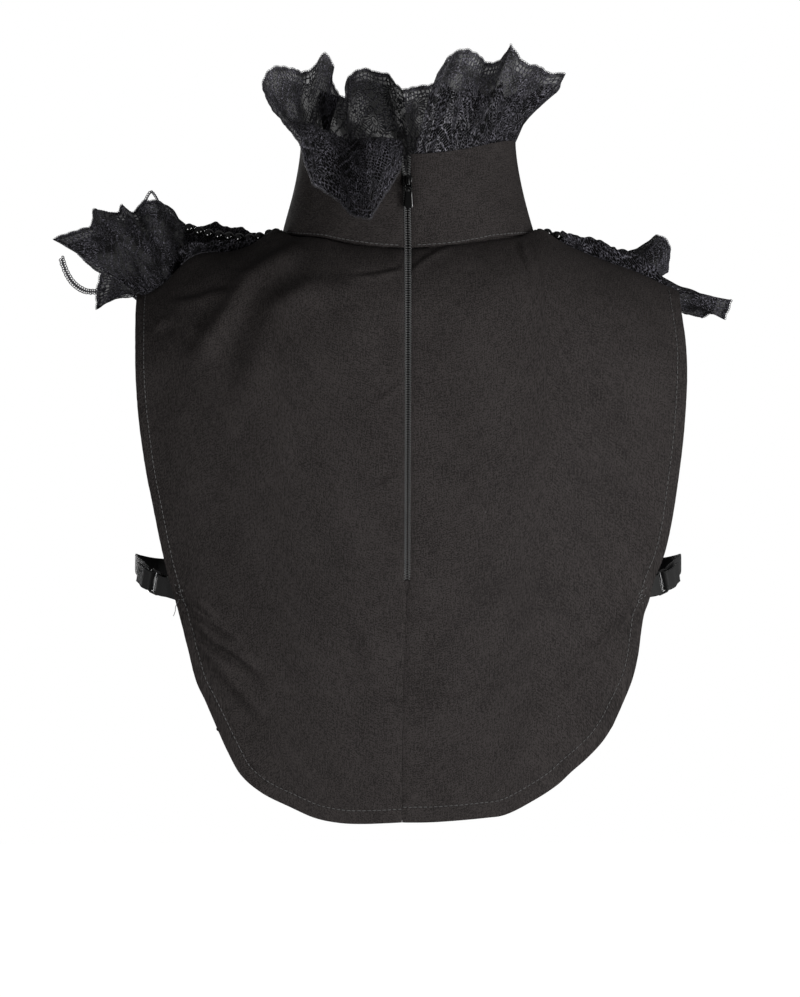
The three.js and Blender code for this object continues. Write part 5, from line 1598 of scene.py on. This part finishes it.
def smooth_route(points, fine=60):
    """A centripetal curve through the points, sampled closely."""
    p = np.concatenate([[2 * points[0] - points[1]], points, [2 * points[-1] - points[-2]]])
    line = []
    for k in range(1, len(p) - 2):
        d0, d1, d2 = (np.linalg.norm(p[k + i] - p[k + i - 1]) ** 0.5 for i in range(3))
        v1 = ((p[k] - p[k - 1]) / d0 - (p[k + 1] - p[k - 1]) / (d0 + d1) + (p[k + 1] - p[k]) / d1) * d1
        v2 = ((p[k + 1] - p[k]) / d1 - (p[k + 2] - p[k]) / (d1 + d2) + (p[k + 2] - p[k + 1]) / d2) * d1
        t = np.linspace(0, 1, fine, endpoint=False)[:, None]
        cubic = (2 * p[k] - 2 * p[k + 1] + v1 + v2) * t**3
        line.append(cubic + (-3 * p[k] + 3 * p[k + 1] - 2 * v1 - v2) * t**2 + v1 * t + p[k])
    return np.concatenate(line + [points[-1:]])


class Route:
    """A strap's way under one arm, from the back panel to the front panel."""

    def __init__(self, sign):
        depth = UNDER_PANEL + STRAP_REACH + STRAP_WALL
        back = [under_panel(BACK, x, z, depth) for x, z in ((134, -212), (145, -209))]
        front = [under_panel(FRONT, x, z, depth) for x, z in ((147, -199), (136, -201))]
        self.line = smooth_route(np.concatenate([back, STRAP_ROUTE, front]) * (sign, 1, 1))
        self.run, self.sign = lengths(self.line, 0), sign
        self.length = self.run[-1]
        self.middle = self.length * BUCKLE_AT
        self.heading = self.tangent(self.middle)

    def point(self, distance):
        return np.array([np.interp(distance, self.run, self.line[:, k]) for k in range(3)])

    def tangent(self, distance):
        distance = np.clip(distance, 0.4, self.length - 0.4)
        step = self.point(distance + 0.4) - self.point(distance - 0.4)
        return step / np.linalg.norm(step)

    def frame(self, distance):
        """Place, along, out and across at a distance. It runs straight through the buckle."""
        straight = float(rise((14 - abs(distance - self.middle)) / 6.5))
        on_line = self.point(self.middle) + self.heading * (distance - self.middle)
        place = self.point(distance) * (1 - straight) + on_line * straight
        ahead = self.tangent(distance) * (1 - straight) + self.heading * straight
        out = np.cross((0, 0, self.sign), ahead / np.linalg.norm(ahead))
        out /= np.linalg.norm(out)
        across = np.cross(out, ahead)
        return place, ahead, out, across / np.linalg.norm(across)


# %% Folded straps
def loop_stations(start, rail, end, towards):
    """Distances and heights: out along the inside, round the rail, back along the outside."""

    def stretch(a, b, height):
        return [(d, height) for d in np.linspace(a, b, max(int(abs(b - a) / 1.2), 2), endpoint=False)]

    swing = RAIL / 2 + 0.3
    turn = [
        (rail + towards * swing * math.sin(a), -STRAP_REACH * math.cos(a))
        for a in np.linspace(0, math.pi, 14, endpoint=False)
    ]
    back = stretch(end, rail, STRAP_REACH)[::-1]
    return stretch(start, rail, -STRAP_REACH) + turn + [(rail, STRAP_REACH)] + back


def folded_strap(name, route, stations, turned_side, node):
    ribs = np.linspace(-0.5, 0.5, 13) * STRAP_WIDTH
    rows = []
    for distance, height in stations:
        place, _, out, across = route.frame(distance)
        rows.append(place + out * height + across * ribs[:, None])
    grid = np.array(rows)
    normal = grid_normals(grid)
    rounded = (np.abs(ribs) / (STRAP_WIDTH / 2)) ** 8 * 0.25
    grid = grid + normal * (rounded * turned_side)[None, :, None]
    place = np.stack([lengths(grid, 0), np.broadcast_to(ribs, grid.shape[:2])], -1)
    wall = STRAP_WALL * 0.9
    made = shell(grid, wall, place, normal * -turned_side)
    settle(add_mesh(name, made, ELASTIC, 50), "elastic", node)


ROUTES = {side_name: Route(sign) for side_name, sign in SIDES}
for side_name, route in ROUTES.items():
    rail = (BUCKLE_ALONG - RAIL) / 2
    tab = loop_stations(4, route.middle - rail, 6, 1)
    folded_strap("tab_" + side_name, route, tab, -1, "side_tab_" + side_name)
    strap = loop_stations(route.length - 4, route.middle + rail, route.middle + rail + 15, -1)
    folded_strap("strap_" + side_name, route, strap, 1, "side_strap_" + side_name)
    print(side_name, "strap route", round(route.length), "mm")


# %% [markdown]
# ## Buckles
# Each buckle is a slim frame with a bar across its middle, moulded with rounded edges: a closed loop
# of rounded section and a straight bar.

# %% Buckles
BUCKLE_CORNER = 1.3


def rounded_oblong(half_a, half_b, corner):
    """The outline of an oblong with round corners, six points to a corner."""
    outline = []
    for ca, cb, start in ((1, 1, 0), (-1, 1, 1), (-1, -1, 2), (1, -1, 3)):
        for a in np.linspace(start, start + 1, 6) * math.pi / 2:
            outline.append((ca * (half_a - corner) + corner * math.cos(a),
                            cb * (half_b - corner) + corner * math.sin(a)))
    return np.array(outline)


half_b = (BUCKLE_ACROSS - RAIL) / 2
loop = rounded_oblong((BUCKLE_ALONG - RAIL) / 2, half_b, BUCKLE_CORNER)
sideways = square_to(loop)
for side_name, route in ROUTES.items():
    place, ahead, out, across = route.frame(route.middle)
    to_world = np.stack([ahead, across, out])
    rings = [
        np.concatenate([loop + sideways * s, np.full((len(loop), 1), h)], 1) @ to_world + place
        for s, h in ellipse(RAIL, BUCKLE_THICK, 10)
    ]
    bar_line = np.linspace(-half_b, half_b, 8)[:, None] * across + place
    bar = swept(bar_line, ahead, ellipse(RAIL, BUCKLE_THICK * 0.9, 10))
    piece = solid("buckle_" + side_name, *together(tube_round(rings), bar), BUCKLE_FINISH)
    settle(piece, "buckle", "strap_buckle_" + side_name)

# %% [markdown]
# ## Stitches and hems
# The hems are turned to the inside and stitched a few millimetres from the edge. Each stitch is a
# short oval bump on the line of the hem, 2.6 mm long. On the inside the turned cloth is a narrow
# strip that follows the edge.


# %% Stitch lines
STITCH_PITCH, STITCH_SIZE = 0.0031, (0.0026, 0.00055, 0.00045)  # metres
STITCH_RAISE, HEM_GAP = 0.3, 0.12


def crossing(values):
    """Where a row of values last falls through zero: the step before it and the share of a step."""
    found = np.nonzero((values[1:] <= 0) & (values[:-1] > 0))[0]
    if len(found) == 0:
        return None
    last = found[-1]
    return last, values[last] / (values[last] - values[last + 1])


def hem_line(grid, inner, reverse=False):
    """Where the hem's stitches run, and the edge beside them. inner is how far each grid point lies
    inside the stitches. The line goes down the armhole row by row, until the edge turns in by more
    than three columns a row, and then along the bottom column by column."""
    line, roots = [], []
    if reverse:
        grid, inner = grid[::-1], inner[::-1]
    columns, rows = inner.shape
    steep = columns
    for j in range(4, rows):
        found = crossing(inner[:, j])
        if found:
            i, t = found
            if j > rows / 2 and i < steep - 3:
                break
            steep = i
            line.append(grid[i, j] + (grid[i + 1, j] - grid[i, j]) * t)
            roots.append(grid[-1, j])
    for i in range(min(steep, columns - 7), -1, -1):
        found = crossing(inner[i])
        if found:
            j, t = found
            line.append(grid[i, j] + (grid[i, j + 1] - grid[i, j]) * t)
            roots.append(grid[i, -1])
    return np.array(line), np.array(roots)


def stitch(name, line, spacing=STITCH_PITCH, size=STITCH_SIZE):
    settle(grow(name, BALLS, [line], Spacing=spacing, Size=size, Material=THREAD), "thread")


def smoothed(line):
    """The same line with a point every millimetre, each the mean of the seven round it."""
    run = lengths(line, 0)
    even_run = np.arange(0, run[-1], 1.0)
    columns = [np.pad(np.interp(even_run, run, line[:, k]), 3, "edge") for k in range(3)]
    return np.stack([np.convolve(column, np.ones(7) / 7, "valid") for column in columns], -1)


def hem(name, stitches, grid, inner, reverse=False):
    """A hem's stitches, and inside it the turned cloth from the edge to the stitches."""
    line, roots = hem_line(grid, inner, reverse)
    raised, _ = hem_line(grid + outward(grid) * STITCH_RAISE, inner, reverse)
    stitch(stitches, smoothed(raised))
    u = np.linspace(0.06, 1, 7)[None, :, None]
    strip = roots[:, None] * (1 - u) + line[:, None] * u
    normal = outward(strip)
    strip = strip - normal * (WALL + HEM_GAP)
    run = lengths(smoothed(line), 0)[-1] / 1000
    print(name, "runs", round(run * 1000), "mm")
    cut = (max(HEM_CUT_WIDTH, sheet_area(strip) / run), run)
    inner_strip(name, strip, HEM_WALL, normal)


for side_name in ("left", "right"):
    hem("hem_" + side_name, "hem_stitches_" + side_name, *BACKS[side_name])
grid, inner = FRONT_GRID
middle = len(grid) // 2
hem("front_hem_right", "front_stitches_right", grid[:middle + 1], inner[:middle + 1], True)
hem("front_hem_left", "front_stitches_left", grid[middle:], inner[middle:])

# %% Strap ends
# The tab's end is stitched through the back panel in a short zigzag, and one thread end hangs out
for side_name, sign in SIDES:
    zigzag = np.array([(142, -206), (137.5, -209.5), (141.5, -210.5), (136.5, -214), (140, -215)])
    place = along(zigzag, np.linspace(0, 1, 30)) * (sign, 1)
    if sign < 0:
        place = place + (-3, -2)
    tack, _ = on_cloth(BACKS[side_name][0], place[:, 0], place[:, 1], 0.15)
    stitch("tack_" + side_name, tack, 0.0026, (0.0019, 0.0006, 0.0005))
tail = along([(140, -216), (141.6, -219), (141.9, -222), (143, -225)], np.linspace(0, 1, 20))
tail, _ = on_cloth(BACKS["left"][0], tail[:, 0], tail[:, 1], 0.5)
tail[:, 1] = np.maximum(tail[:, 1], tail[0, 1])
settle(grow("thread_end", THREADS, [tail], Thread=0.0002, Sides=5, Material=THREAD), "thread")

# %% Collar and seam stitches
line = BAND[:, 1] + outward(BAND, NECK_MIDDLE)[:, 1] * 0.05
stitch("band_stitches", line[3:-3])
u, z = np.meshgrid(np.linspace(-9, 9, 9), np.linspace(-202.8, -348.5, 92), indexing="ij")
allowance, out = back_face(centre_x(z) + u, z)
allowance = allowance - out * (WALL + 0.25)
made = shell(allowance, ALLOWANCE_WALL, np.stack([u, z], -1), out)
piece = add_mesh("seam_allowance", made, COTTON)
settle(piece, "cotton")
